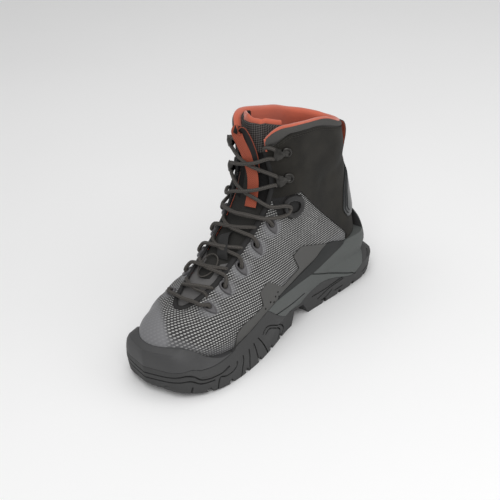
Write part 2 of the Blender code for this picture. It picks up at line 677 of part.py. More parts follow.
def make_sole_parts():
    tread = closed_ring(sole_half(LATERAL, False), sole_half(MEDIAL, False))
    flare = closed_ring(sole_half(LATERAL, True), sole_half(MEDIAL, True))
    top = int(np.searchsorted(LEVELS, SOLE_LEVEL)) + 1
    rings = np.concatenate([tread[None], flare[None], sole_sides(flare)[1:top]])
    form = ring_solid("form", rings)
    core = rings - ring_normals(rings) * GROOVE_DEPTH
    core[0, :, 2] -= 20
    seat = grown(GAP)
    seat[0, :, 2] -= GAP
    apply(form, ring_solid("plug", seat), "DIFFERENCE")
    edge, toe, arch = side_points(SOLE_EDGE), side_points(TOE_LINE), side_points(ARCH_LINE)
    stabiliser, wedge = side_points(STABILISER_EDGE), side_points(WEDGE_EDGE)
    under = [(arch[-1][0], UNDER_ALL)] + side_points(ARCH_GAP) + [(toe[0][0], UNDER_ALL)]
    strip = wedge + stabiliser[-3:1:-1]
    pieces = [
        ("outsole", under + toe + edge[8:] + arch[1:], -HALF_SPACE, HALF_SPACE),
        ("toe_cap", edge[:8] + toe[-2::-1], -HALF_SPACE, HALF_SPACE),
        ("midsole", stabiliser + arch[-3:0:-1], -HALF_SPACE, HALF_SPACE),
        ("side_wedge_lateral", strip, -HALF_SPACE, 0),
        ("side_wedge_medial", strip, 0, HALF_SPACE),
    ]
    for name, outline, low, high in pieces:
        part = copy_of(form, name)
        apply(part, prism(shrunk(outline, GAP / 2), low, high), "INTERSECT")
    bpy.data.objects.remove(form)
    outsole = bpy.data.objects["outsole"]
    for line in TREAD_SLOTS:
        tool = prism(groove_outline(side_points(line), SLOT_WIDTH), -HALF_SPACE, HALF_SPACE)
        apply(outsole, tool, "DIFFERENCE")
    for line in SIDE_GROOVES:
        tool = prism(groove_outline(side_points(line), GROOVE_WIDTH), -HALF_SPACE, HALF_SPACE)
        apply(tool, ring_solid("core", core), "DIFFERENCE")
        apply(outsole, tool, "DIFFERENCE")


def groove_outline(line, width):
    """An outline with a given width around a line of the boot's side."""
    line = np.asarray(line, float)
    ahead = np.gradient(line, axis=0)
    ahead /= np.linalg.norm(ahead, axis=1, keepdims=True)
    aside = np.stack([-ahead[:, 1], ahead[:, 0]], 1) * width / 2
    return np.concatenate([line + aside, (line - aside)[::-1]])


def make_upper_parts():
    wall = np.interp(LEVELS, WALL_LEVELS, WALL_SIZES)
    throat = range(-NOSE_STEPS, NOSE_STEPS)
    body = cells((0, COLLAR_LEVEL), range(COLUMNS)) & ~cells((THROAT_LEVEL, TOP_LEVEL), throat)
    upper = shell("upper", body, grown(0.0), grown(-wall))
    for side in (LATERAL, MEDIAL):
        for eyelet in EYELETS:
            place, out = beside(side, *eyelet)
            ends = [place - out * PIN_INWARD, place, place + out * PIN_OUTWARD]
            pin = tube("pin", ends, EYELET_RADIUS, PIN_SIDES)
            apply(upper, pin, "DIFFERENCE")
    wedge, stabiliser = side_points(WEDGE_EDGE), side_points(STABILISER_EDGE)
    edge, arch = side_points(SOLE_EDGE), side_points(ARCH_LINE)
    panel_out = GAP + PANEL
    clip_in = panel_out + GAP
    overlay = side_points(OVERLAY_EDGE) + wedge[-3::-1] + edge[-1:7:-1]
    collar = side_points(COLLAR_SEAM)
    ankle = side_points(ANKLE_SEAM) + stabiliser[-1:] + arch[-2:] + collar[::-1]
    above = collar + [(collar[-1][0], OVER_ALL), (collar[0][0] + HALF_SPACE, OVER_ALL)]
    low = body & cells((0, 6), range(COLUMNS))
    high = body & cells((1, COLLAR_LEVEL), range(COLUMNS))
    pieces = [
        ("side_overlay_lateral", low, GAP, panel_out, overlay, -HALF_SPACE, 0),
        ("side_overlay_medial", low, GAP, panel_out, overlay, 0, HALF_SPACE),
        ("ankle_panel", high, GAP, panel_out, ankle, -HALF_SPACE, HALF_SPACE),
        ("collar_band", high, GAP, GAP + BAND, above, -HALF_SPACE, HALF_SPACE),
        ("heel_clip", high, clip_in, clip_in + CLIP, side_points(CLIP_OUTLINE), -HALF_SPACE, HALF_SPACE),
    ]
    for name, mask, inner, outer, outline, left, right in pieces:
        part = shell(name, mask, grown(outer), grown(inner))
        apply(part, prism(shrunk(outline, GAP / 2), left, right), "INTERSECT")
    hidden = -(wall + GAP)
    depth = np.repeat(hidden[:, None], COLUMNS, 1)
    for column in range(-NOSE_STEPS + 1, NOSE_STEPS):
        depth[LEVELS > THROAT_LEVEL, column] = -1.0
    outer = RINGS + NORMALS * depth[:, :, None]
    inner = RINGS + NORMALS * (depth - TONGUE)[:, :, None]
    outer[-1, :, 2] = TONGUE_TOP
    inner[-1, :, 2] = TONGUE_TOP
    shell("tongue", cells((4, TOP_LEVEL), range(-NOSE_STEPS - 2, NOSE_STEPS + 2)), outer, inner)
    sock = grown(-(WALL + GAP + 0.1))
    ring_solid("insole", np.stack([sock[0], sock[0] * 0.4 + sock[1] * 0.6]))


def frame_at(place, out, toward):
    """Two directions along the surface: toward a direction, and across it."""
    ahead = np.asarray(toward, float)
    ahead = ahead - out * (ahead @ out)
    ahead = ahead / np.linalg.norm(ahead)
    return ahead, np.cross(out, ahead)


def tab(name, place, out, toward, shape, thickness, lift, hole, hole_at=0.0):
    """A plate with a hole that lies on the upper. shape: half of its outline, along and across."""
    ahead, across = frame_at(place, out, toward)
    outline = shape + [(a, -b) for a, b in shape[-2:0:-1]]
    rings = [[], [], [], []]
    for a, b in outline:
        turn = math.atan2(b, a - hole_at)
        spots = [(a, b), (hole_at + hole * math.cos(turn), hole * math.sin(turn))]
        for n, (u, v) in enumerate(spots):
            foot, normal = land(place + ahead * u + across * v, out)
            rings[3 * n].append(foot + normal * lift)
            rings[n + 1].append(foot + normal * (lift + thickness))
    count = len(outline)
    faces = []
    for j in range(4):
        for i in range(count):
            k = (i + 1) % count
            n = (j + 1) % 4
            faces += two_triangles(n * count + i, n * count + k, j * count + k, j * count + i)
    return make(name, np.array(rings), faces)


def strap(name, path, across, widths, thickness):
    """A band with square edges along a path."""
    path = np.asarray(path, float)
    across = np.asarray(across, float)
    widths = np.broadcast_to(widths, len(path))
    ahead = np.gradient(path, axis=0)
    ahead /= np.linalg.norm(ahead, axis=1, keepdims=True)
    normal = np.cross(ahead, across)
    normal /= np.linalg.norm(normal, axis=1, keepdims=True)
    rings = []
    for point, width, lift in zip(path, widths, normal):
        side = across * width / 2
        up = lift * thickness / 2
        rings.append([point - side - up, point + side - up, point + side + up, point - side + up])
    count = len(path)
    faces = [(0, 3, 2, 1), tuple(range(4 * count - 4, 4 * count))]
    for j in range(count - 1):
        for i in range(4):
            k = (i + 1) % 4
            faces.append((4 * j + i, 4 * j + k, 4 * j + 4 + k, 4 * j + 4 + i))
    return make(name, np.array(rings), faces)


def make_hardware():
    lift = GAP + 0.2
    for side, word in ((LATERAL, "lateral"), (MEDIAL, "medial")):
        for number, eyelet in enumerate(EYELETS, 1):
            place, out = beside(side, *eyelet)
            name = "eyelet_tab_%s_%d" % (word, number)
            tab(name, place, out, (0, -0.1, -1), TAB_SHAPE, TAB_THICKNESS, lift, EYELET_RADIUS + 0.2)
        place, out = beside(side, *ANKLE_LOOP)
        name = "ankle_loop_" + word
        tab(name, place, out, (0, -1, -0.35), LOOP_SHAPE, LOOP_THICKNESS, lift, LOOP_HOLE, LOOP_HOLE_AT)
        top = GAP + PANEL + HOOK_LIFT
        for number, spot in enumerate(HOOKS, 1):
            place, out = beside(side, *spot)
            back, up = frame_at(place, out, (0, -1, -0.1))
            up = up / np.linalg.norm(up)
            points = [place + back * b + out * (n + top) for b, n in HOOK_PATH]
            hook = strap("hook_%s_%d" % (word, number), points, up, HOOK_WIDTHS, HOOK_THICKNESS)
            foot = place + back * RIVET_AT + out * (top + 0.1)
            rivet = tube("rivet", [foot, foot + out * RIVET_HEIGHT], RIVET_RADIUS, RIVET_SIDES)
            apply(hook, rivet, "UNION")


def edge_point(side, height, inward, distance):
    """A place beside the throat's edge at one height, moved toward the middle and outward."""
    column = NOSE_STEPS if side == LATERAL else COLUMNS - NOSE_STEPS
    line = RINGS[LEVELS >= THROAT_LEVEL, column]
    x, y = (np.interp(height, line[:, 2], line[:, k]) for k in (0, 1))
    foot, out = land((x - side * inward, y, height), (0.0, -1.0, 0.0))
    return foot + out * distance


def lace_ends():
    """Where the lace leaves each row, and where it comes to it from the row below."""
    starts, stops = {}, {}
    for side in (LATERAL, MEDIAL):
        for row, eyelet in enumerate(EYELETS, 1):
            place, out = beside(side, *eyelet, LACE_START)
            over = edge_point(side, place[2] + LACE_RISE, -OVER_EDGE, LACE_LIFT)
            starts[side, row] = [place, over]
            stops[side, row] = [edge_point(side, place[2] + 0.5, UNDER_EDGE, LACE_TUCK)]
        first = starts[side, 1][0]
        bar, out = beside(side, *EYELETS[0], BAR_START)
        starts[side, 0] = [bar, edge_point(side, first[2] + 1, -OVER_EDGE, LACE_LIFT)]
        starts[side, 1] = [edge_point(side, first[2] + LACE_FIRST_RISE, UNDER_EDGE, LACE_FIRST_TUCK)]
        for row, (share_y, share_z) in enumerate([ANKLE_LOOP] + HOOKS, 6):
            place, out = beside(side, share_y, share_z)
            ahead, across = frame_at(place, out, (0, 1, 0.1))
            reach, rise = LOOP_PASS if row == 6 else HOOK_PASS
            middle = place + ahead * reach + out * LACE_LIFT
            up = across * side * rise
            for ends, point in ((starts, middle + up), (stops, middle - up)):
                over = edge_point(side, point[2], -OVER_EDGE / 2, LACE_LIFT + 0.8)
                ends[side, row] = [point, over] if ends is starts else [over, point]
    return starts, stops


def make_laces():
    starts, stops = lace_ends()
    left, right = starts[LATERAL, 0], starts[MEDIAL, 0]
    middle, out = in_front(0.0, (left[0][2] + right[0][2]) / 2 + BAR_RISE, BAR_ARCH)
    tube("lace_bar", smooth_path(left + [middle] + right[::-1], LACE_STEPS), LACE_RADIUS)
    for row in range(1, 8):
        halves = []
        for side in (LATERAL, MEDIAL):
            first, last = starts[side, row], stops[-side, row + 1]
            middle = []
            for t in (0.3, 0.7):
                x, height = (first[-1][k] * (1 - t) + last[0][k] * t for k in (0, 2))
                middle.append(in_front(x, height, LACE_ARCH)[0])
            path = smooth_path(first + middle + last, LACE_STEPS)
            halves.append(tube("lace_cross_%d" % row, path, LACE_RADIUS))
        apply(halves[0], halves[1], "UNION")


def make_straps():
    across = (1.0, 0.0, 0.0)
    points = [in_front(x, z * BOOT_HEIGHT, distance)[0] for x, z, distance in STRAP_PATH]
    strap("tongue_strap", points, across, STRAP_WIDTH, STRAP_THICKNESS)
    points = [(HEEL_LOOP_PLACE, y - HEEL_TO_ORIGIN, z * BOOT_HEIGHT) for y, z in HEEL_LOOP_PATH]
    strap("heel_loop", points, HEEL_LOOP_ACROSS, HEEL_LOOP_WIDTH, HEEL_LOOP_THICKNESS)


def main():
    for obj in list(bpy.data.objects):
        bpy.data.objects.remove(obj)
    make_sole_parts()
    make_upper_parts()
    make_hardware()
    make_laces()
    make_straps()
    for piece in bpy.data.objects:
        piece.data.shade_smooth()
        piece.data.set_sharp_from_angle(angle=SHARP_ANGLE)


main()
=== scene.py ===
"""The looks of a left wading boot around its packed frame.

+Y runs from heel to toe and +X is the inner side. Sizes in the tables are in millimetres, in shares of
the last's length or in shares of the boot's height.
"""

import math

import bpy
import numpy as np
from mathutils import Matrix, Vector
from mathutils.bvhtree import BVHTree


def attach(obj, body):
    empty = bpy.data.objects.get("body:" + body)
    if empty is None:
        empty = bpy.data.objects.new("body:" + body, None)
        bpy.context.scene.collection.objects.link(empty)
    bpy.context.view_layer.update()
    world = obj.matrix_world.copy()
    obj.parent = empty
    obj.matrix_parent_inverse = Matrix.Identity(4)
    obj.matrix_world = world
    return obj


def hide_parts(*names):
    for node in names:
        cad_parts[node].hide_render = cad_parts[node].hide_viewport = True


bl_info = {
    "name": "Wading boot",
    "version": (1, 0, 0),
    "blender": (4, 5, 0),
    "location": "3D View > Sidebar > Boot",
    "description": "Builds the looks of a laced wading boot around its frame",
    "category": "Object",
}

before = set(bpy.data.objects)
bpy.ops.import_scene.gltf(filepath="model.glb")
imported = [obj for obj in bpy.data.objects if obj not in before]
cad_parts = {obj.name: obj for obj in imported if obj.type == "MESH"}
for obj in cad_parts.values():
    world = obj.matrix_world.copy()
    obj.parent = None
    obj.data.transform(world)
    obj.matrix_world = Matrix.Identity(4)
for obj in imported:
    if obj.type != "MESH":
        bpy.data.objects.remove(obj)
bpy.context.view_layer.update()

MM = 0.001
LAST_LENGTH = 302.0
HEEL_TO_ORIGIN = 48.0
BALL_WIDTH = 106.0
BOOT_HEIGHT = 220.0
SOLE_WIDTH = 120.0
TONGUE_TOP = 226.0
GAP = 0.3
LATERAL, MEDIAL = -1, 1

# A row for each level of the upper, from the sole's edge up: where it meets the heel's and the front's
# middle, how far it sags between them, and how long it rounds at the nose and the seat.
LEVEL_SHAPE = [
    # back_y, back_z, front_y, front_z, sag, nose, seat
    (0.017, 0.130, 0.980, 0.134, -0.032, 0.205, 0.120),
    (0.003, 0.209, 1.000, 0.214, -0.035, 0.215, 0.125),
    (-0.002, 0.277, 0.987, 0.259, -0.020, 0.225, 0.125),
    (0.000, 0.341, 0.950, 0.291, 0.000, 0.240, 0.125),
    (0.005, 0.405, 0.901, 0.314, 0.000, 0.245, 0.125),
    (0.010, 0.468, 0.838, 0.341, 0.000, 0.235, 0.125),
    (0.013, 0.527, 0.772, 0.386, 0.000, 0.215, 0.130),
    (0.017, 0.586, 0.702, 0.441, 0.000, 0.200, 0.135),
    (0.018, 0.641, 0.632, 0.498, 0.000, 0.185, 0.140),
    (0.020, 0.695, 0.566, 0.559, 0.000, 0.175, 0.145),
    (0.020, 0.750, 0.510, 0.623, 0.000, 0.168, 0.150),
    (0.020, 0.805, 0.470, 0.695, 0.000, 0.160, 0.150),
    (0.021, 0.859, 0.448, 0.777, 0.000, 0.145, 0.140),
    (0.025, 0.923, 0.440, 0.864, 0.000, 0.130, 0.130),
    (0.029, 0.991, 0.434, 0.950, 0.000, 0.120, 0.125),
    (0.029, 1.055, 0.430, 1.018, 0.000, 0.120, 0.125),
]
# Half widths at the heel, waist, ball and toe, in half ball widths.
WIDTH_STATIONS = (0.13, 0.36, 0.66, 0.90)
LEVEL_WIDTHS = {
    LATERAL: [
        (0.63, 0.70, 0.95, 0.86),
        (0.68, 0.76, 1.01, 0.93),
        (0.69, 0.77, 1.01, 0.88),
        (0.67, 0.75, 0.94, 0.78),
        (0.66, 0.73, 0.85, 0.66),
        (0.66, 0.72, 0.75, 0.55),
        (0.66, 0.72, 0.66, 0.48),
        (0.67, 0.73, 0.61, 0.44),
        (0.68, 0.74, 0.58, 0.42),
        (0.70, 0.75, 0.56, 0.42),
        (0.72, 0.76, 0.56, 0.42),
        (0.74, 0.77, 0.56, 0.42),
        (0.75, 0.77, 0.58, 0.42),
        (0.74, 0.77, 0.60, 0.42),
        (0.71, 0.76, 0.60, 0.42),
        (0.71, 0.76, 0.60, 0.42),
    ],
    MEDIAL: [
        (0.63, 0.60, 0.92, 0.86),
        (0.68, 0.68, 0.98, 0.93),
        (0.69, 0.70, 0.98, 0.89),
        (0.67, 0.70, 0.91, 0.80),
        (0.66, 0.70, 0.83, 0.68),
        (0.66, 0.70, 0.74, 0.56),
        (0.66, 0.71, 0.67, 0.48),
        (0.67, 0.73, 0.61, 0.44),
        (0.68, 0.75, 0.58, 0.42),
        (0.70, 0.76, 0.56, 0.42),
        (0.72, 0.77, 0.56, 0.42),
        (0.74, 0.78, 0.56, 0.42),
        (0.75, 0.77, 0.58, 0.42),
        (0.74, 0.77, 0.60, 0.42),
        (0.71, 0.76, 0.60, 0.42),
        (0.71, 0.76, 0.60, 0.42),
    ],
}
CENTRE_STATIONS = (0.0, 0.36, 0.66, 0.85, 1.0)
CENTRE_SHIFT = (0.0, 0.0, 0.0, 0.02, 0.05)
COLLAR_STATIONS = (0.0, 0.15, 0.35, 0.60, 0.80, 0.93, 1.0)
COLLAR_DROP = (0.140, 0.100, 0.027, -0.022, -0.052, -0.056, -0.045)
DROP_FROM = 8.5
SAG_REACH = 0.85
COLLAR_LEVEL = 14
THROAT_LEVEL = 5
THROAT_STATIONS = (5, 6, 8, 10, 11, 12, 13, 15)
THROAT_HALF = (18.0, 20.5, 23.0, 26.5, 27.0, 24.0, 20.0, 18.0)
WALL_LEVELS = (0, 9, 12, 13.2, 15)
WALL_SIZES = (3.0, 3.0, 4.0, 6.5, 6.5)
# Half widths of the tread, in half sole widths, and its height above the floor.
SOLE_OUTLINE = [
    # station, lateral, medial
    (-0.030, 0.00, 0.00),
    (-0.010, 0.45, 0.43),
    (0.020, 0.65, 0.62),
    (0.060, 0.72, 0.70),
    (0.120, 0.73, 0.72),
    (0.200, 0.72, 0.71),
    (0.280, 0.69, 0.67),
    (0.360, 0.66, 0.60),
    (0.440, 0.67, 0.60),
    (0.520, 0.74, 0.68),
    (0.600, 0.85, 0.79),
    (0.700, 0.96, 0.90),
    (0.800, 1.01, 0.94),
    (0.880, 1.00, 0.92),
    (0.930, 0.93, 0.84),
    (0.970, 0.80, 0.71),
    (1.010, 0.50, 0.45),
    (1.030, 0.00, 0.00),
]
TREAD_STATIONS = (-0.030, 0.03, 0.07, 0.70, 0.80, 0.88, 0.95, 1.030)
TREAD_HEIGHT = (6.0, 1.2, 0.0, 0.0, 0.4, 1.6, 4.0, 9.0)
FLARE_STATIONS = (-0.03, 0.10, 0.30, 0.45, 0.60, 0.85, 1.0)
FLARE_OUT = (5.5, 7.0, 2.5, 0.5, 1.5, 1.5, 1.5)
FLARE_HEIGHT = (26.0, 24.0, 20.0, 20.0, 18.0, 20.0, 26.0)
SIDE_LEVELS = (0.5, 1, 2, 3, 4)
SIDE_OUT = (6.5, 5.5, 4.2, 2.8, 2.2)
HEEL_OUT = (8.0, 10.0, 7.0, 2.6, 0.5)
HEEL_END = 0.22
# The top of the sole's side, how far it stands out there, and the height over which it rounds below it.
SOLE_TOP = [
    (-0.172, 0.372), (0.010, 0.372), (0.045, 0.335), (0.085, 0.265), (0.129, 0.252), (0.228, 0.302),
    (0.315, 0.270), (0.440, 0.255), (0.543, 0.248), (0.619, 0.227), (0.656, 0.213), (0.725, 0.176),
    (0.775, 0.148), (0.791, 0.136), (0.838, 0.136), (0.868, 0.145), (0.894, 0.168), (0.921, 0.205),
    (0.954, 0.232), (1.152, 0.236),
]
EDGE_OUT = 1.3
EDGE_ROUND = 12.0
HEEL_ROUND = 4.0
SOLE_FRONT_HALF = 18.0
TOE_START = 0.80
TOE_FULL = 0.93
TOE_ROUND = 20.0

# Lines of the boot's side, in last lengths from the heel and boot heights from the floor.
SOLE_EDGE = [
    (1.152, 0.236), (0.987, 0.236), (0.954, 0.232), (0.921, 0.205),
    (0.894, 0.168), (0.868, 0.145), (0.838, 0.136), (0.791, 0.136),
    (0.775, 0.148), (0.725, 0.176), (0.656, 0.213), (0.619, 0.227),
]
TOE_LINE = [
    (1.152, 0.139), (1.026, 0.141), (0.964, 0.143), (0.934, 0.127),
    (0.901, 0.123), (0.854, 0.125), (0.821, 0.130), (0.791, 0.136),
]
ARCH_LINE = [
    (0.619, 0.227), (0.566, 0.159), (0.483, 0.093), (0.450, 0.084),
    (0.397, 0.084), (0.377, 0.114), (0.308, 0.132), (0.228, 0.114),
    (0.149, 0.077), (0.116, 0.082), (0.073, 0.127), (0.040, 0.173),
    (0.020, 0.245), (0.010, 0.364), (-0.172, 0.364),
]
STABILISER_EDGE = [
    (0.619, 0.227), (0.556, 0.239), (0.427, 0.227), (0.331, 0.218),
    (0.238, 0.232), (0.129, 0.252), (0.019, 0.255),
]
WEDGE_EDGE = [
    (0.556, 0.239), (0.543, 0.248), (0.440, 0.255), (0.315, 0.270),
    (0.228, 0.302), (0.129, 0.252),
]
OVERLAY_EDGE = [
    (0.780, 0.143), (0.770, 0.208), (0.735, 0.234), (0.634, 0.262),
    (0.632, 0.281), (0.630, 0.324), (0.572, 0.343), (0.517, 0.275),
    (0.401, 0.286), (0.420, 0.366), (0.368, 0.383), (0.228, 0.302),
]
ANKLE_SEAM = [
    (0.490, 0.686), (0.349, 0.673), (0.290, 0.568), (0.219, 0.456),
    (0.124, 0.305), (0.114, 0.280), (0.119, 0.255),
]
COLLAR_SEAM = [
    (0.490, 0.900), (0.414, 0.928), (0.395, 0.952), (0.368, 0.977),
    (0.345, 0.986), (0.301, 0.974), (0.215, 0.937), (0.126, 0.882), (0.007, 0.820),
    (-0.172, 0.820),
]
CLIP_OUTLINE = [
    (0.078, 0.577), (0.104, 0.514), (0.119, 0.418), (0.093, 0.364),
    (0.046, 0.355), (0.008, 0.382), (-0.172, 0.382), (-0.172, 0.645),
    (0.020, 0.627),
]
ARCH_GAP = [
    (0.364, -0.091), (0.364, 0.000), (0.391, 0.066), (0.440, 0.066), (0.464, 0.000), (0.464, -0.091),
]
TREAD_SLOTS = [
    [(0.066, -0.027), (0.056, 0.024)],
    [(0.139, -0.027), (0.129, 0.024)],
    [(0.212, -0.027), (0.202, 0.024)],
    [(0.288, -0.027), (0.278, 0.024)],
    [(0.536, -0.027), (0.546, 0.024)],
    [(0.609, -0.027), (0.619, 0.024)],
    [(0.682, -0.027), (0.695, 0.024)],
    [(0.755, -0.027), (0.768, 0.024)],
    [(0.828, -0.027), (0.844, 0.024)],
    [(0.907, -0.027), (0.927, 0.032)],
]
# Grooves of the sole's side: the block under the arch, the fan of lugs, the toe and the heel.
SIDE_GROOVES = [
    [(0.668, 0.135), (0.656, 0.157), (0.636, 0.160), (0.585, 0.119), (0.520, 0.044), (0.530, 0.018)],
    [(0.655, 0.125), (0.640, 0.140), (0.625, 0.138), (0.585, 0.100), (0.545, 0.048), (0.570, 0.012)],
    [(0.693, 0.137), (0.664, 0.072), (0.640, 0.004)],
    [(0.716, 0.125), (0.708, 0.065), (0.696, 0.002)],
    [(0.743, 0.113), (0.749, 0.054), (0.750, 0.002)],
    [(0.774, 0.105), (0.786, 0.050), (0.794, 0.002)],
    [(0.804, 0.096), (0.826, 0.068), (0.862, 0.062), (0.884, 0.072), (0.894, 0.040), (0.898, 0.004)],
    [(0.840, 0.098), (0.900, 0.088), (0.945, 0.092), (0.968, 0.118), (0.990, 0.124), (1.033, 0.106),
     (1.152, 0.100)],
    [(0.905, 0.070), (0.950, 0.072), (0.975, 0.094), (1.000, 0.092), (1.033, 0.078), (1.152, 0.074)],
    [(0.972, 0.060), (0.975, 0.030)],
    [(1.014, 0.060), (1.018, 0.034)],
    [(0.344, 0.078), (0.285, 0.081), (0.192, 0.097), (0.120, 0.070)],
    [(0.318, 0.045), (0.256, 0.075), (0.192, 0.087)],
    [(0.300, 0.024), (0.270, 0.034), (0.245, 0.058)],
    [(0.232, 0.040), (0.190, 0.043)],
    [(0.030, 0.060), (0.080, 0.045)],
    [(0.015, 0.130), (0.048, 0.118)],
    [(0.010, 0.200), (0.030, 0.190)],
]
# Folds of the upper: a line on the side, its depth and its half width.
CREASES = [
    ([(0.890, 0.235), (0.862, 0.300), (0.850, 0.330)], 0.9, 4.5),
    ([(0.800, 0.270), (0.770, 0.320), (0.750, 0.350)], 0.8, 4.5),
    ([(0.700, 0.290), (0.680, 0.360), (0.660, 0.400)], 0.6, 5.0),
    ([(0.440, 0.480), (0.360, 0.520), (0.300, 0.500), (0.240, 0.440)], 0.9, 6.0),
    ([(-0.020, 0.700), (0.060, 0.690), (0.140, 0.660), (0.230, 0.660)], 0.8, 6.0),
    ([(0.160, 0.800), (0.260, 0.780), (0.340, 0.800)], 0.5, 6.0),
]
STABILISER_GROOVES = [
    [(0.350, 0.222), (0.329, 0.206), (0.275, 0.168), (0.222, 0.135), (0.170, 0.104), (0.134, 0.082)],
    [(0.620, 0.190), (0.560, 0.178), (0.470, 0.158), (0.400, 0.150)],
]
EYELETS = [(0.798, 0.335), (0.714, 0.385), (0.635, 0.440), (0.556, 0.502), (0.482, 0.568)]
ANKLE_LOOP = (0.386, 0.615)
HOOKS = [(0.406, 0.762), (0.399, 0.898)]
# Half of an eyelet's outline and of an ankle loop's, along and across, with the tip first.
EYELET_SHAPE = [(11.0, 0.0), (8.5, 2.2), (5.0, 3.9), (1.0, 5.0), (-3.0, 5.0), (-6.2, 3.6), (-7.6, 0.0)]
LOOP_SHAPE = [(15.0, 0.0), (13.5, 6.0), (7.0, 12.0), (-2.0, 13.5), (-9.5, 10.5), (-13.0, 5.0), (-13.5, 0.0)]
LOOP_OPENING = [(8.0, 0.0), (7.4, 2.8), (3.6, 5.6), (-2.0, 6.6), (-6.6, 5.0), (-8.4, 2.4), (-8.8, 0.0)]
# The pull strap on the tongue: across, share of the height and distance in front of the upper's surface.
STRAP_PATH = [
    (-10.0, 0.645, 0.8), (-8.5, 0.695, 0.9), (-7.5, 0.730, 1.1), (-6.5, 0.764, 1.3), (-4.5, 0.800, 1.4),
    (-2.0, 0.836, 2.0), (0.5, 0.880, 3.4), (3.0, 0.920, 5.6), (5.5, 0.965, 8.2), (6.6, 0.990, 8.8),
    (6.0, 1.002, 7.6), (4.0, 0.998, 6.0), (0.5, 0.975, 4.6), (-3.5, 0.930, 3.2), (-6.0, 0.880, 2.0),
    (-6.5, 0.830, 0.9), (-6.5, 0.800, 0.4),
]
# The pull loop on the heel, a little to the lateral side: distance in front of the last's end, and height.
HEEL_LOOP_PATH = [
    (2.6, 134.0), (2.2, 142.0), (-2.2, 153.0), (-6.0, 163.0), (-6.8, 171.0), (-4.6, 177.5), (0.5, 181.2),
    (6.0, 182.0), (11.0, 180.5),
]
HEEL_LOOP_PLACE = -8.0
HEEL_LOOP_ACROSS = (0.984, -0.177, 0.0)
PINHOLES = [(0.548, 0.248), (0.580, 0.243), (0.566, 0.262), (0.597, 0.256), (0.628, 0.244), (0.548, 0.272)]
PINHOLE = 1.25
# The walls of the sheets that lie on the upper.
UPPER_WALL = 1.6
PANEL_WALL = 1.2
NUBUCK_WALL = 1.3
LINING_WALL = 0.8
SEAM_GAP = 0.7
PANEL_TOP_LEVEL = 6
# How many levels the collar's seam stays below its rim.
SEAM_BELOW_RIM = 0.40
# Two rows of stitches: levels below the collar's seam, radius, and pitch in stitch lengths.
STITCH_DROPS = (0.13, 0.23)
STITCH_RADIUS = 0.32
STITCH_PITCH = 1.55
# The collar's padded band: share of the way from its seam to the rim, and distance from the upper.
PAD_PROFILE = [
    (-0.16, 0.15), (0, 0.3), (0.01, 0.7), (0.05, 1.5), (0.14, 2.2), (0.28, 2.6), (0.45, 2.7), (0.62, 2.6),
    (0.78, 2.2), (0.90, 1.6), (0.97, 1.2), (1.0, 0.8),
]
# The lining: levels below the rim, distance outward and rise.
LINING_PROFILE = [
    (0.05, 0.9, 0.2), (0.0, 1.1, 0.8), (0.0, 0.3, 1.6), (0.0, -1.6, 2.0), (0.0, -4.0, 1.4), (0.0, -5.8, 0.2),
    (0.15, -6.8, 0.0), (0.5, -7.4, 0.0), (1.0, -7.2, 0.0), (1.6, -6.4, 0.0), (2.4, -5.4, 0.0),
    (3.5, -4.4, 0.0), (5.0, -3.8, 0.0), (7.0, -3.4, 0.0), (9.0, -3.2, 0.0), (11.0, -3.1, 0.0),
]
# The tape inside the collar: levels below the rim and distance outward, and its ends along the boot.
TAPE_PROFILE = [(0.06, -7.2), (0.10, -8.4), (0.24, -8.4), (0.38, -8.4), (0.42, -7.2)]
TAPE_FROM, TAPE_TO = 42.0, 80.0
# The piping down the throat's edge, and the level at which it ends.
PIPING_RADIUS = 1.3
PIPING_FROM = 12.9
# The gusset below the laces: its levels, its columns to each side and its distance from the upper.
GUSSET_FROM, GUSSET_TO = 4.0, 7.25
GUSSET_REACH = 16
GUSSET_DEPTH = -1.9
# The tongue: its levels, its columns to each side, its padding, the fall of its top to the sides, and the
# edge of its face, each point a share of the way to its back and a rise.
TONGUE_FROM, TONGUE_TO = 6.5, 15.0
TONGUE_REACH = 22
TONGUE_DEPTH = 7.0
TONGUE_ROUND = 0.012
TONGUE_EDGE = [(0.06, 0.5), (0.18, 0.6), (0.34, 0.2), (0.40, -1.5)]
# The lining's roll over the tongue: its rise, its fold, its start, and shares of the way and of the turn.
LINING_ROLL = 4.8
LINING_BUMP = 3.4
LINING_LOW = -1.2
ROLL_STEPS = [
    (0.30, 0.0), (0.31, 0.08), (0.38, 0.2), (0.5, 0.36), (0.64, 0.5), (0.78, 0.64), (0.9, 0.8), (0.98, 0.92),
]
# How much lower or higher the inner side's rim is than the outer side's: place along, reach and rise.
INNER_RIM = [(80.0, 14.0, -4.5), (12.0, 20.0, -2.8), (-28.0, 14.0, 1.5)]

# The pull strap and the heel loop: width and thickness of the band and of its back, and the back's offset.
PULL_ACROSS = (1.0, 0.15, 0.0)
PULL_BAND, PULL_BACK = (13.6, 0.8), (12.6, 0.6)
PULL_BACK_OFF = 0.75
PULL_BACK_FROM = 20
LOOP_BAND, LOOP_BACK = (13.0, 0.9), (12.6, 0.7)
LOOP_BACK_OFF = 0.8
# The lace keeper on the tongue: across, height and distance in front of the upper.
KEEPER_PATH = [
    (-9.0, 104.0, -0.5), (-8.0, 106.0, 3.0), (-5.0, 110.0, 5.0), (-1.0, 115.0, 5.2), (1.0, 118.0, 3.5),
    (2.0, 120.0, -0.5),
]
KEEPER_ACROSS = (0.85, 0.25, -0.35)
KEEPER_BAND = (13.0, 1.0)
# The hoop below the keeper: its middle, its half axes, its distance from the upper and its radius.
HOOP_PLACE = (0.5, 98.0)
HOOP_AXES = (9.5, 7.0)
HOOP_OFF = 1.6
HOOP_RADIUS = 0.8
# The heel clip's layers: inset, foot and top over the upper.
CLIP_LEVELS = (3, 11)
CLIP_LAYERS = ((0.0, 1.5, 3.0), (3.2, 2.6, 3.9), (6.4, 3.6, 4.7))
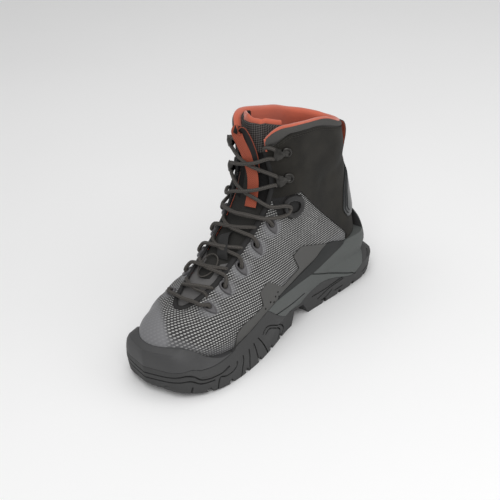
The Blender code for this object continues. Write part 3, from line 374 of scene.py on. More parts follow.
# A lace hook's plate: toward the throat, half width and height over the panel.
SHIELD = [
    (3.0, 3.2, 0.9), (-1.6, 4.0, 1.2), (-4.6, 5.4, 3.2), (-4.6, 6.4, 5.8), (-1.6, 6.4, 7.6), (2.4, 4.4, 7.8),
    (6.2, 0.5, 6.9),
]
SHIELD_SAG = -1.1
# Its rivet: radius and height, and how far it sits behind the hook's place.
RIVET = [
    (0.0, 0.2), (5.2, 0.2), (5.5, 0.8), (5.3, 1.5), (4.6, 2.0), (3.8, 1.8), (3.2, 1.0), (2.4, 0.6),
    (1.0, 0.6), (0.0, 0.6),
]
RIVET_BACK = 8.4
# The eyelet's hole, its place on the tab, and the tab's foot, shoulder, crest, opening and floor.
HOLE_AXES = (3.0, 2.5)
HOLE_SHIFT = -1.5
EYELET_HEIGHTS = (0.0, 0.9, 2.3, 1.5, -0.2)
EYELET_TOWARD = (0, -0.25, -1)
LOOP_HEIGHTS = (0.2, 1.8, 4.4, 3.4, 0.3)
LOOP_TOWARD = (0, -1, -0.35)
TREAD_SLOT = 4.5
# The lace's bend at an ankle loop and at a hook: reach, rise, distance out, and where it turns.
LOOP_BEND = (12.0, 5.0, 2.6, 6.5, 2.0)
HOOK_BEND = (4.5, 5.2, 5.6, 5.5, 5.2)

# The plain materials: roughness, blotch, blotch scale, grain, grain scale, relief and rounded edges.
FINISHES = {
    "side panel film": (0.55, 0.05, 40.0, 0.06, 700.0, 0.06, 0.5),
    # painted shade: near-black discs that stand in for the shade inside the pinholes and eyelet holes
    "painted hole shade": (0.9, 0.12, 60.0, 0.10, 900.0, 0.10, 0.0),
    "nubuck": (0.95, 0.45, 32.0, 0.30, 1400.0, 0.14, 0.5),
    "stitching thread": (0.8, 0.12, 60.0, 0.10, 900.0, 0.10, 0.0),
    "padded collar cloth": (0.8, 0.06, 60.0, 0.25, 2000.0, 0.12, 0.0),
    "lining cloth": (0.9, 0.06, 50.0, 0.12, 2200.0, 0.10, 0.0),
    "throat binding": (0.75, 0.08, 60.0, 0.18, 1500.0, 0.10, 0.0),
    "gusset cloth": (0.8, 0.05, 60.0, 0.12, 1800.0, 0.08, 0.0),
    "tread rubber": (0.72, 0.07, 45.0, 0.10, 1100.0, 0.08, 0.7),
    "toe rubber": (0.60, 0.05, 45.0, 0.08, 1100.0, 0.06, 0.9),
    "stabiliser": (0.62, 0.05, 45.0, 0.08, 900.0, 0.06, 0.7),
    "edge strip": (0.55, 0.06, 45.0, 0.08, 900.0, 0.06, 0.5),
    "footbed cloth": (0.9, 0.10, 80.0, 0.25, 1500.0, 0.15, 0.0),
    "glossy mould": (0.30, 0.08, 60.0, 0.05, 900.0, 0.04, 0.8),
    "eyelet mould": (0.42, 0.05, 60.0, 0.05, 900.0, 0.05, 0.4),
    "loop mould": (0.34, 0.05, 60.0, 0.08, 900.0, 0.05, 0.5),
    "studio floor": (0.9, 0.005, 2.0, 0.0, 200.0, 0.0, 0.0),
}
# Near-black of the discs in the pinholes and eyelet holes: painted shade where the holes fall dark.
HOLE_SHADE_COLOUR = (0.004, 0.004, 0.004)
FOOTBED_COLOUR = (0.030, 0.030, 0.031)

# Half of the width over which a block cuts, and the distance below which points are merged.
HALF_SPACE = 100.0
WELD = 0.00002
# Steps of the upper's grid from the heel to the throat's edge, and on to the middle of the front.
HALF_STEPS = 60
FRONT_STEPS = 12
MIDDLE = HALF_STEPS + FRONT_STEPS
COLUMNS = 2 * MIDDLE + 1
TOP_LEVEL = 15
SKIN_STEP = 0.125
ROW_STEP = 0.25
LINE_SAMPLES = 481


def hermite(stations, values, at):
    """A smooth curve through the values, read at one place or several."""
    xs = np.asarray(stations, float)
    ys = np.asarray(values, float)
    slopes = np.gradient(ys, xs)
    at = np.clip(np.asarray(at, float), xs[0], xs[-1])
    i = np.clip(np.searchsorted(xs, at, side="right") - 1, 0, len(xs) - 2)
    span = xs[i + 1] - xs[i]
    t = (at - xs[i]) / span
    return (
        ys[i] * (1 + 2 * t) * (1 - t) ** 2
        + slopes[i] * span * t * (1 - t) ** 2
        + ys[i + 1] * t * t * (3 - 2 * t)
        + slopes[i + 1] * span * t * t * (t - 1)
    )


def rounding(distance, length):
    """A quarter circle's rise from 0 to 1 over a length."""
    t = np.clip(distance / length, 0, 1)
    return np.sqrt(np.maximum(0, 1 - (1 - t) ** 2))


def eased(t):
    """0 to 1 with a soft start and end."""
    t = np.clip(t, 0, 1)
    return t * t * (3 - 2 * t)


def along(share):
    """The place along the boot at a share of the last's length."""
    return np.asarray(share) * LAST_LENGTH - HEEL_TO_ORIGIN


def level_line(level, side):
    """The outline of one level on one side, from the heel's middle to the front's."""
    rows = range(len(LEVEL_SHAPE))
    back_y, back_z, front_y, front_z, sag, nose, seat = (
        float(hermite(rows, [row[k] for row in LEVEL_SHAPE], level)) for k in range(7)
    )
    widths = [float(hermite(rows, [row[k] for row in LEVEL_WIDTHS[side]], level)) for k in range(4)]
    t = 0.5 - 0.5 * np.cos(np.pi * np.linspace(0, 1, LINE_SAMPLES))
    share = back_y + (front_y - back_y) * t
    half = hermite(WIDTH_STATIONS, widths, share) * BALL_WIDTH / 2
    half = half * rounding(share - back_y, seat) * rounding(front_y - share, nose)
    centre = hermite(CENTRE_STATIONS, CENTRE_SHIFT, share) * BALL_WIDTH
    dip = np.sin(np.pi * t * SAG_REACH) ** 2
    height = (back_z + (front_z - back_z) * t + sag * dip) * BOOT_HEIGHT
    rise = eased((level - DROP_FROM) / (COLLAR_LEVEL - DROP_FROM))
    height = height - hermite(COLLAR_STATIONS, COLLAR_DROP, t) * BOOT_HEIGHT * rise
    return np.stack([centre + side * half, along(share), height], 1), half


def resample(points, count):
    """The same line in even steps."""
    steps = np.linalg.norm(np.diff(points, axis=0), axis=1)
    length = np.concatenate([[0], np.cumsum(steps)])
    wanted = np.linspace(0, length[-1], count + 1)
    return np.stack([np.interp(wanted, length, points[:, k]) for k in range(3)], 1)


def divided(line, half, edge):
    """Even steps from the heel to the throat's edge, and on to the front's middle."""
    widest = np.argmax(half)
    k = widest + int(np.argmax(half[widest:] < edge))
    return np.concatenate([resample(line[: k + 1], HALF_STEPS), resample(line[k:], FRONT_STEPS)[1:]])


def around(medial, lateral):
    """One ring from the heel's middle by the inner side and the front to the heel again."""
    return np.concatenate([medial, lateral[-2::-1]])


def skin_ring(level):
    """The upper's ring at one level."""
    edge = float(np.interp(level, THROAT_STATIONS, THROAT_HALF))
    medial, lateral = (divided(*level_line(level, side), edge) for side in (MEDIAL, LATERAL))
    return around(medial, lateral)


def outward(rings):
    """The outward directions of a stack of rings that start and end at the heel."""
    ahead = np.roll(rings[:, :-1], -1, axis=1) - np.roll(rings[:, :-1], 1, axis=1)
    ahead = np.concatenate([ahead, ahead[:, :1]], axis=1)
    normals = np.cross(ahead, np.gradient(rings, axis=0))
    return normals / np.linalg.norm(normals, axis=2, keepdims=True)


def side_points(line):
    """A line of the boot's side in millimetres."""
    return [(float(along(y)), z * BOOT_HEIGHT) for y, z in line]


def curved(points, steps=5):
    """A smooth line through every one of the points."""
    points = np.asarray(points, float)
    ends = np.concatenate([[2 * points[0] - points[1]], points, [2 * points[-1] - points[-2]]])
    gaps = np.sqrt(np.maximum(np.linalg.norm(np.diff(ends, axis=0), axis=1), 1e-6))
    times = np.concatenate([[0], np.cumsum(gaps)])
    line = [points[0]]
    for i in range(1, len(ends) - 2):
        for t in times[i] + (times[i + 1] - times[i]) * np.arange(1, steps + 1) / steps:
            a, b, c, d = ends[i - 1:i + 3]
            ta, tb, tc, td = times[i - 1:i + 3]
            ab = (a * (tb - t) + b * (t - ta)) / (tb - ta)
            bc = (b * (tc - t) + c * (t - tb)) / (tc - tb)
            cd = (c * (td - t) + d * (t - tc)) / (td - tc)
            abc = (ab * (tc - t) + bc * (t - ta)) / (tc - ta)
            bcd = (bc * (td - t) + cd * (t - tb)) / (td - tb)
            line.append((abc * (tc - t) + bcd * (t - tb)) / (tc - tb))
    return [tuple(p) for p in line]


SKIN_LEVELS = np.arange(0, TOP_LEVEL + SKIN_STEP / 2, SKIN_STEP)


def creased(rings):
    """The upper's rings with soft troughs where it folds, each with a low ridge on both sides."""
    away = outward(rings)
    for line, depth, width in CREASES:
        line = np.array(curved(side_points(line), 4))
        gaps = []
        for a, b in zip(line, line[1:]):
            t = np.clip((rings[:, :, 1:] - a) @ (b - a) / ((b - a) @ (b - a)), 0, 1)
            gaps.append(np.linalg.norm(rings[:, :, 1:] - a - t[..., None] * (b - a), axis=2))
        gap = np.min(gaps, axis=0) / width
        fold = np.exp(-gap ** 2) - 0.4 * np.exp(-(gap - 1.9) ** 2)
        rings = rings - away * (depth * fold)[..., None]
    return rings


SKIN = creased(np.stack([skin_ring(level) for level in SKIN_LEVELS]))
SKIN_OUT = outward(SKIN)
SPAN = np.abs(np.arange(COLUMNS) - MIDDLE)


def bent(levels):
    """Levels for each column, bent to round the throat's lower end and the collar's front corners."""
    levels = np.asarray(levels, float)
    levels = levels[:, None] if levels.ndim == 1 else levels
    share = np.minimum(SPAN / FRONT_STEPS, 1)
    beyond = np.exp(-np.maximum(SPAN - FRONT_STEPS, 0) / 4)
    throat = (0.95 * share ** 5 - 0.35 * (1 - share ** 2)) * beyond
    corner = -0.5 * np.clip(1 - (SPAN - FRONT_STEPS) / 9, 0, 1) ** 2
    near = eased(1 - np.abs(levels - THROAT_LEVEL) / 2.5)
    top = eased((levels - 11.5) / 2.5)
    return levels + near * throat + top * corner


def on_skin(levels, distance=0.0):
    """Points of the upper's surface at a level for each row and column, moved outward."""
    levels = np.broadcast_to(np.asarray(levels, float), (len(levels), COLUMNS))
    place = np.clip(levels, 0, TOP_LEVEL) / SKIN_STEP
    low = np.clip(np.floor(place).astype(int), 0, len(SKIN) - 2)
    part = (place - low)[..., None]
    columns = np.arange(COLUMNS)[None, :]
    points = SKIN[low, columns] * (1 - part) + SKIN[low + 1, columns] * part
    normals = SKIN_OUT[low, columns] * (1 - part) + SKIN_OUT[low + 1, columns] * part
    distance = np.broadcast_to(np.asarray(distance, float), levels.shape)[..., None]
    return points + normals * distance


def skin_tree():
    """The upper's surface as a tree for finding the nearest place on it."""
    grid = SKIN[::2].reshape(-1, 3)
    rows = len(SKIN[::2])
    faces = [
        (j * COLUMNS + i, j * COLUMNS + i + 1, (j + 1) * COLUMNS + i + 1, (j + 1) * COLUMNS + i)
        for j in range(rows - 1)
        for i in range(COLUMNS - 1)
    ]
    return BVHTree.FromPolygons([Vector(p) for p in grid], faces)


SKIN_TREE = skin_tree()


def landed(point, direction, distance=0.0):
    """The place where a line meets the upper's surface, moved outward, and the outward direction there."""
    start = Vector(point) - Vector(direction).normalized() * 60
    place, normal, _, _ = SKIN_TREE.ray_cast(start, Vector(direction))
    if place is None:
        place, normal, _, _ = SKIN_TREE.find_nearest(Vector(point))
    place, normal = np.array(place), np.array(normal)
    if normal @ np.asarray(direction, float) > 0:
        normal = -normal
    return place + normal * distance, normal


def beside_at(side, y, z, distance=0.0):
    """The place on one side of the upper at millimetres along and up."""
    return landed((side * 90.0, y, z), (-side, 0, 0), distance)


def beside(side, share_y, share_z):
    """The place on one side of the upper at shares of the last's length and the boot's height."""
    return beside_at(side, float(along(share_y)), share_z * BOOT_HEIGHT)


def in_front(x, height, distance=0.0):
    """The place on the front of the upper at millimetres across and up."""
    return landed((x, 300.0, height), (0, -1, -0.001), distance)


def softened(points, radius):
    """The same line with its corners rounded."""
    points = [np.asarray(p, float) for p in points]
    line = [points[0]]
    for before, corner, after in zip(points, points[1:], points[2:]):
        cut = min(radius, 0.4 * np.linalg.norm(corner - before), 0.4 * np.linalg.norm(after - corner))
        a = corner + (before - corner) / np.linalg.norm(before - corner) * cut
        b = corner + (after - corner) / np.linalg.norm(after - corner) * cut
        line += [a * (1 - t) ** 2 + corner * 2 * t * (1 - t) + b * t * t for t in (0, 0.25, 0.5, 0.75, 1)]
    return [tuple(p) for p in line + [points[-1]]]


def crossing(a, b, c, d):
    """Where two short lines of the side cross, or None."""
    one, two, gap = b - a, d - c, c - a
    size = one[0] * two[1] - one[1] * two[0]
    if abs(size) < 1e-12:
        return None
    t = (gap[0] * two[1] - gap[1] * two[0]) / size
    u = (gap[0] * one[1] - gap[1] * one[0]) / size
    return a + one * t if 0 < t < 1 and 0 < u < 1 else None


def unlooped(points):
    """An outline without the small loops that it makes where it crosses itself."""
    points = list(points)
    i = 0
    while i < len(points):
        count = len(points)
        for j in range(i + 2, count if i else count - 1):
            spot = crossing(points[i], points[i + 1], points[j], points[(j + 1) % count])
            if spot is not None:
                inner = points[i + 1:j + 1]
                if len(inner) <= count / 2:
                    points[i + 1:j + 1] = [spot]
                else:
                    points = [spot] + inner
                    i = -1
                break
        i += 1
        if i + 1 >= len(points):
            break
    return np.array(points)


def shrunk(outline, distance):
    """An outline moved inward, with the tips that become too thin cut off."""
    points = np.array(outline, float)
    keep = np.linalg.norm(points - np.roll(points, 1, axis=0), axis=1) > 0.02
    points = unlooped(points[keep])
    area = np.sum(points[:, 0] * np.roll(points[:, 1], -1) - np.roll(points[:, 0], -1) * points[:, 1])
    edges = np.roll(points, -1, axis=0) - points
    edges /= np.linalg.norm(edges, axis=1, keepdims=True)
    inward = np.stack([-edges[:, 1], edges[:, 0]], 1) * np.sign(area)
    mitre = inward + np.roll(inward, 1, axis=0)
    mitre /= np.maximum((mitre * inward).sum(1, keepdims=True), 0.5)
    return unlooped(points + mitre * distance)


def directions(path):
    """The unit vectors along a path."""
    ahead = np.gradient(path, axis=0)
    return ahead / np.linalg.norm(ahead, axis=1, keepdims=True)


def groove_outline(line, width):
    """The outline of a groove along a line."""
    line = np.asarray(line, float)
    ahead = directions(line)
    aside = np.stack([-ahead[:, 1], ahead[:, 0]], 1) * width / 2
    return np.concatenate([line + aside, (line - aside)[::-1]])


def pick(*pieces):
    """Makes these the only selected objects, the last of them active."""
    if bpy.context.mode != "OBJECT":
        bpy.ops.object.mode_set(mode="OBJECT")
    bpy.ops.object.select_all(action="DESELECT")
    for piece in pieces:
        piece.select_set(True)
    bpy.context.view_layer.objects.active = pieces[-1]


def edit(piece, *steps):
    """Runs mesh operators on the whole piece in edit mode."""
    pick(piece)
    bpy.ops.object.mode_set(mode="EDIT")
    bpy.ops.mesh.select_all(action="SELECT")
    for operator, settings in steps:
        operator(**settings)
    bpy.ops.object.mode_set(mode="OBJECT")


def corner_vertices(mesh):
    """The vertex at each corner of each face."""
    corners = np.zeros(len(mesh.loops), int)
    mesh.loops.foreach_get("vertex_index", corners)
    return corners


def vertex_places(mesh):
    """The places of a mesh's vertices in metres."""
    places = np.zeros(len(mesh.vertices) * 3)
    mesh.vertices.foreach_get("co", places)
    return places.reshape(-1, 3)


def run_lengths(rows, axis):
    """The distances run along the rows or the columns of a grid of points."""
    steps = np.linalg.norm(np.diff(rows, axis=axis), axis=2)
    start = np.zeros_like(np.take(steps, [0], axis=axis))
    return np.concatenate([start, np.cumsum(steps, axis=axis)], axis=axis)


def lofted(name, rows, close=False):
    """A grid laid through rows of points in millimetres, with a UV map in metres."""
    rows = np.asarray(rows, float)
    high, wide = rows.shape[:2]
    bpy.ops.object.select_all(action="DESELECT")
    bpy.ops.mesh.primitive_grid_add(x_subdivisions=wide - 1, y_subdivisions=high - 1, size=1)
    piece = bpy.context.object
    piece.name = name
    piece.data.name = name
    mesh = piece.data
    mesh.vertices.foreach_set("co", (rows * MM).ravel())
    uv = np.stack([run_lengths(rows, 1), run_lengths(rows, 0)], 2).reshape(-1, 2) * MM
    mesh.uv_layers[0].data.foreach_set("uv", uv[corner_vertices(mesh)].ravel())
    mesh.update()
    if close:
        edit(piece, (bpy.ops.mesh.remove_doubles, {"threshold": WELD}))
    return piece


def capped(rows):
    """Rows of points round a path, closed with a point at both ends."""
    rows = np.asarray(rows, float)
    ends = [np.broadcast_to(rows[k].mean(axis=0), rows[k].shape)[None] for k in (0, -1)]
    return np.concatenate([ends[0], rows, ends[1]])


def round_the_heel(rows):
    """The columns of a grid from one edge of the throat round the heel to the other."""
    return np.concatenate([rows[:, MIDDLE + FRONT_STEPS:], rows[:, 1:MIDDLE - FRONT_STEPS + 1]], axis=1)


def finished_with(piece, kind, **settings):
    """Adds a modifier, sets it up and applies it."""
    pick(piece)
    modifier = piece.modifiers.new(kind.title(), kind)
    for key, value in settings.items():
        setattr(modifier, key, value)
    bpy.ops.object.modifier_apply(modifier=modifier.name)
    return piece


def thickened(piece, thickness, offset=-1.0):
    """Gives a sheet its wall, inward where nothing else is asked."""
    return finished_with(piece, "SOLIDIFY", thickness=thickness * MM, offset=offset, use_rim=True)


def block(outline, low, high):
    """A block that stands across the boot over an outline of its side."""
    outline = np.asarray(outline, float)
    mesh = bpy.data.meshes.new("block")
    mesh.from_pydata([(low * MM, y * MM, z * MM) for y, z in outline], [], [tuple(range(len(outline)))])
    piece = bpy.data.objects.new("block", mesh)
    bpy.context.scene.collection.objects.link(piece)
    reach = (high - low) * MM
    edit(
        piece,
        (bpy.ops.mesh.extrude_region_move, {"TRANSFORM_OT_translate": {"value": (reach, 0, 0)}}),
        (bpy.ops.mesh.select_all, {"action": "SELECT"}),
        (bpy.ops.mesh.normals_make_consistent, {"inside": False}),
    )
    if volume(piece) < 0:
        edit(piece, (bpy.ops.mesh.flip_normals, {}))
    return piece


def volume(piece):
    """The volume of a closed piece, below zero where it is inside out."""
    mesh = piece.data
    mesh.calc_loop_triangles()
    corners = vertex_places(mesh)[np.array([triangle.vertices for triangle in mesh.loop_triangles])]
    return np.einsum("ij,ij->i", corners[:, 0], np.cross(corners[:, 1], corners[:, 2])).sum() / 6


def cut(piece, tool, operation="DIFFERENCE"):
    """Cuts a piece with a tool, or joins the two, and removes the tool."""
    finished_with(piece, "BOOLEAN", operation=operation, solver="MANIFOLD", object=tool)
    bpy.data.objects.remove(tool)
    if not piece.data.polygons:
        raise RuntimeError("Nothing is left of " + piece.name)
    return piece


def trimmed(piece, outline, low=-HALF_SPACE, high=HALF_SPACE, inset=0.0):
    """Keeps what lies inside an outline of the side, less an inset and half a gap."""
    return cut(piece, block(shrunk(outline, inset + GAP / 2), low, high), "INTERSECT")


def joined(pieces):
    pick(*pieces)
    bpy.ops.object.join()
    return bpy.context.object


def copied(piece, name):
    twin = bpy.data.objects.new(name, piece.data.copy())
    twin.data.name = name
    bpy.context.scene.collection.objects.link(twin)
    return twin


def dressed(piece, material, *nodes, angle=35):
    """Gives a finished piece its shading, its material and its place on the frame."""
    pick(piece)
    bpy.ops.object.shade_smooth_by_angle(angle=math.radians(angle))
    piece.data.materials.clear()
    piece.data.materials.append(material)
    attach(piece, "root")
    if nodes:
        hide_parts(*nodes)
    return piece


def tube(name, path, radius, sides=12):
    """A closed round cord along a path in millimetres."""
    path = np.asarray(path, float)
    ahead = directions(path)
    normal = np.cross(ahead[0], (0.0, 0.37, 0.93))
    turns = np.arange(sides + 1) * 2 * math.pi / sides
    rows = []
    for point, forward in zip(path, ahead):
        normal = normal - forward * (normal @ forward)
        normal = normal / np.linalg.norm(normal)
        across = np.cross(forward, normal)
        rows.append([point + radius * (math.cos(t) * normal + math.sin(t) * across) for t in turns])
    return lofted(name, capped(rows), close=True)


def ribbon(name, path, across, width, thickness):
    """A flat band with rounded edges along a path in millimetres."""
    path = np.asarray(path, float)
    across = np.broadcast_to(np.asarray(across, float), path.shape)
    ahead = directions(path)
    across = across - ahead * (across * ahead).sum(1, keepdims=True)
    across = across / np.linalg.norm(across, axis=1, keepdims=True)
    up = np.cross(across, ahead)
    half = [(-0.5, -0.25), (-0.46, -0.5), (0.0, -0.5), (0.46, -0.5), (0.5, -0.25)]
    profile = half + [(-s, -t) for s, t in half] + half[:1]
    rows = [
        [p + a * width * s + u * thickness * t for s, t in profile]
        for p, a, u in zip(path, across, up)
    ]
    return lofted(name, capped(rows), close=True)


def facing(out, toward):
    """The direction along a surface toward a side, and the one across it."""
    ahead = np.asarray(toward, float)
    ahead = ahead - out * (ahead @ out)
    ahead = ahead / np.linalg.norm(ahead)
    return ahead, np.cross(out, ahead)


# Shading


def add(tree, kind, inputs=None, **settings):
    """A shader node with its inputs set or linked."""
    made = tree.nodes.new(kind)
    for key, value in settings.items():
        setattr(made, key, value)
    for key, value in (inputs or {}).items():
        if isinstance(value, bpy.types.NodeSocket):
            tree.links.new(value, made.inputs[key])
        else:
            made.inputs[key].default_value = value
    return made


def sums(tree, operation, *values):
    """The result of one sum of numbers or sockets."""
    return add(tree, "ShaderNodeMath", dict(enumerate(values)), operation=operation).outputs[0]


def mixed(tree, factor, one, two):
    """Two colours mixed by a factor."""
    made = tree.nodes.new("ShaderNodeMix")
    made.data_type = "RGBA"
    for socket, value in ((made.inputs[0], factor), (made.inputs[6], one), (made.inputs[7], two)):
        if isinstance(value, bpy.types.NodeSocket):
            tree.links.new(value, socket)
        elif socket is made.inputs[0]:
            socket.default_value = value
        else:
            socket.default_value = (*value, 1.0)
    return made.outputs[2]


def spread(tree, value, low, high, new_low=0.0, new_high=1.0):
    """A value mapped softly from one range to another."""
    return add(
        tree, "ShaderNodeMapRange",
        {"Value": value, "From Min": low, "From Max": high, "To Min": new_low, "To Max": new_high},
        interpolation_type="SMOOTHSTEP",
    ).outputs["Result"]


def toned(colour, factor):
    """A colour made lighter or darker."""
    return tuple(c * factor for c in colour)


def new_group(name, inputs, outputs):
    """A shader node group with named sockets, and its inner tree, input and output nodes."""
    tree = bpy.data.node_groups.new(name, "ShaderNodeTree")
    for label, kind, value in inputs:
        socket = tree.interface.new_socket(name=label, in_out="INPUT", socket_type=kind)
        if value is not None:
            socket.default_value = value
    for label, kind in outputs:
        tree.interface.new_socket(name=label, in_out="OUTPUT", socket_type=kind)
    return tree, tree.nodes.new("NodeGroupInput"), tree.nodes.new("NodeGroupOutput")


def grain_group():
    """Soft blotches and a fine grain from the object's own coordinates."""
    tree, given, result = new_group(
        "Grain",
        [("Vector", "NodeSocketVector", None), ("Blotch Scale", "NodeSocketFloat", 60.0),
         ("Grain Scale", "NodeSocketFloat", 900.0)],
        [("Blotch", "NodeSocketFloat"), ("Grain", "NodeSocketFloat")],
    )
    blotch = add(tree, "ShaderNodeTexNoise",
                 {"Vector": given.outputs[0], "Scale": given.outputs[1], "Detail": 3.0, "Roughness": 0.55})
    grain = add(tree, "ShaderNodeTexNoise",
                {"Vector": given.outputs[0], "Scale": given.outputs[2], "Detail": 2.0, "Roughness": 0.6})
    tree.links.new(blotch.outputs[0], result.inputs[0])
    tree.links.new(grain.outputs[0], result.inputs[1])
    return tree


def weave_group():
    """Slanted dashes in staggered rows, as on an open woven upper."""
    tree, given, result = new_group(
        "Weave",
        [("Vector", "NodeSocketVector", None), ("Pitch", "NodeSocketFloat", 0.0033),
         ("Row", "NodeSocketFloat", 0.0018), ("Slant", "NodeSocketFloat", 0.35),
         ("Length", "NodeSocketFloat", 0.40), ("Width", "NodeSocketFloat", 0.26)],
        [("Dash", "NodeSocketFloat"), ("Thread", "NodeSocketFloat")],
    )
    vector, pitch, row, slant, length, width = given.outputs[:6]
    parts = add(tree, "ShaderNodeSeparateXYZ", {"Vector": vector})
    u = sums(tree, "DIVIDE", parts.outputs[0], pitch)
    v = sums(tree, "DIVIDE", parts.outputs[1], row)
    line = sums(tree, "FLOOR", v)
    odd = sums(tree, "MULTIPLY", sums(tree, "FLOORED_MODULO", line, 2.0), 0.5)
    a = sums(tree, "SUBTRACT", sums(tree, "FRACT", sums(tree, "ADD", u, odd)), 0.5)
    b = sums(tree, "SUBTRACT", sums(tree, "FRACT", v), 0.5)
    a = sums(tree, "SUBTRACT", a, sums(tree, "MULTIPLY", b, slant))
    reach = sums(tree, "ADD",
                 sums(tree, "POWER", sums(tree, "DIVIDE", a, width), 2.0),
                 sums(tree, "POWER", sums(tree, "DIVIDE", b, length), 2.0))
    dash = spread(tree, sums(tree, "SQRT", sums(tree, "ABSOLUTE", reach)), 1.25, 0.55)
    wave = sums(tree, "SINE", sums(tree, "MULTIPLY", u, 4 * math.pi))
    thread = spread(tree, wave, -1.0, 1.0)
    tree.links.new(dash, result.inputs[0])
    tree.links.new(thread, result.inputs[1])
    return tree


def braid_group():
    """Two crossing sets of strands, as on a braided cord or webbing."""
    tree, given, result = new_group(
        "Braid",
        [("Vector", "NodeSocketVector", None), ("Across", "NodeSocketFloat", 0.0021),
         ("Along", "NodeSocketFloat", 0.0026)],
        [("Strand", "NodeSocketFloat")],
    )
    parts = add(tree, "ShaderNodeSeparateXYZ", {"Vector": given.outputs[0]})
    u = sums(tree, "MULTIPLY", sums(tree, "DIVIDE", parts.outputs[0], given.outputs[1]), math.pi)
    v = sums(tree, "MULTIPLY", sums(tree, "DIVIDE", parts.outputs[1], given.outputs[2]), math.pi)
    one = sums(tree, "SINE", sums(tree, "ADD", u, v))
    two = sums(tree, "SINE", sums(tree, "SUBTRACT", u, v))
    strand = spread(tree, sums(tree, "MULTIPLY", one, two), -1.0, 1.0)
    tree.links.new(strand, result.inputs[0])
    return tree


def grained(tree, blotch_scale, grain_scale):
    """The grain's node on the object's own coordinates."""
    place = tree.nodes.new("ShaderNodeTexCoord")
    shared = bpy.data.node_groups.get("Grain") or grain_group()
    return add(
        tree, "ShaderNodeGroup",
        {"Vector": place.outputs["Object"], "Blotch Scale": blotch_scale, "Grain Scale": grain_scale},
        node_tree=shared,
    )


def braided(tree, across, along_cord):
    """The braid's node on the piece's own UV map."""
    uv = tree.nodes.new("ShaderNodeUVMap")
    shared = bpy.data.node_groups.get("Braid") or braid_group()
    return add(
        tree, "ShaderNodeGroup",
        {"Vector": uv.outputs[0], "Across": across, "Along": along_cord},
        node_tree=shared,
    )


def blank(name, roughness, **settings):
    """A material with its shader, and the values set on the shader's own sockets."""
    material = bpy.data.materials.new(name)
    material.use_nodes = True
    tree = material.node_tree
    shader = tree.nodes["Principled BSDF"]
    shader.inputs["Roughness"].default_value = roughness
    for key, value in settings.items():
        shader.inputs[key.replace("_", " ")].default_value = value
    return material, tree, shader


def raised(tree, shader, height, distance, strength, round_edges=0.0):
    """Feeds a height into the shader's normal, with edges that look rounded where asked."""
    inputs = {"Height": height, "Distance": distance * MM, "Strength": strength}
    if round_edges:
        bevel = add(tree, "ShaderNodeBevel", {"Radius": round_edges * MM}, samples=4)
        inputs["Normal"] = bevel.outputs[0]
    tree.links.new(add(tree, "ShaderNodeBump", inputs).outputs[0], shader.inputs["Normal"])


def plain_material(name, colour, **settings):
    """Rubber, film, moulded parts and suede: one colour with blotches, a grain and its relief."""
    roughness, blotch, blotch_scale, grain, grain_scale, relief, round_edges = FINISHES[name]
    material, tree, shader = blank(name, roughness, **settings)
    texture = grained(tree, blotch_scale, grain_scale)
    patchy = spread(tree, texture.outputs["Blotch"], 0.3, 0.7)
    base = mixed(tree, patchy, toned(colour, 1 - blotch), toned(colour, 1 + blotch))
    fine = spread(tree, texture.outputs["Grain"], 0.35, 0.65)
    base = mixed(tree, sums(tree, "MULTIPLY", fine, grain), base, toned(colour, 1.9))
    tree.links.new(base, shader.inputs["Base Color"])
    rough = spread(tree, texture.outputs["Blotch"], 0.3, 0.7, roughness * 0.92, min(1.0, roughness * 1.08))
    tree.links.new(rough, shader.inputs["Roughness"])
    raised(tree, shader, texture.outputs["Grain"], relief, 0.8, round_edges)
    return material


def weave_material(name, sizes, colours):
    """The woven upper: light dashes on dark yarn, paler and smoother where the film lies over it."""
    material, tree, shader = blank(name, 0.75)
    uv = tree.nodes.new("ShaderNodeUVMap")
    shared = bpy.data.node_groups.get("Weave") or weave_group()
    weave = add(
        tree, "ShaderNodeGroup",
        {"Vector": uv.outputs[0], "Pitch": sizes.weave_pitch, "Row": sizes.weave_row},
        node_tree=shared,
    )
    dash, thread = weave.outputs["Dash"], weave.outputs["Thread"]
    film = add(tree, "ShaderNodeAttribute", attribute_name="film").outputs["Fac"]
    grain = grained(tree, 45.0, 1500.0)
    yarn = mixed(tree, thread, colours.yarn_dark, toned(colours.yarn_dark, 2.1))
    fading = sums(tree, "SUBTRACT", 1.0, sums(tree, "MULTIPLY", film, 0.80))
    lively = spread(tree, grain.outputs["Blotch"], 0.25, 0.75, 0.75, 1.0)
    bright = sums(tree, "MULTIPLY", sums(tree, "MULTIPLY", dash, fading), lively)
    base = mixed(tree, bright, yarn, colours.yarn_light)
    base = mixed(tree, sums(tree, "MULTIPLY", film, 0.70), base, colours.toe_film)
    tree.links.new(base, shader.inputs["Base Color"])
    tree.links.new(spread(tree, film, 0.0, 1.0, 0.78, 0.5), shader.inputs["Roughness"])
    height = sums(tree, "ADD", dash, sums(tree, "MULTIPLY", thread, 0.4))
    raised(tree, shader, sums(tree, "MULTIPLY", height, fading), 0.30, 0.9)
    return material


def cord_material(name, colour, across=0.0012, along_cord=0.0020, relief=0.15):
    """Ribbed webbing, or braided cord where other sizes are asked, on the piece's own UV map."""
    material, tree, shader = blank(name, 0.85)
    strand = braided(tree, across, along_cord).outputs["Strand"]
    base = mixed(tree, strand, toned(colour, 0.55), toned(colour, 1.35))
    tree.links.new(base, shader.inputs["Base Color"])
    raised(tree, shader, strand, relief, 0.8)
    return material


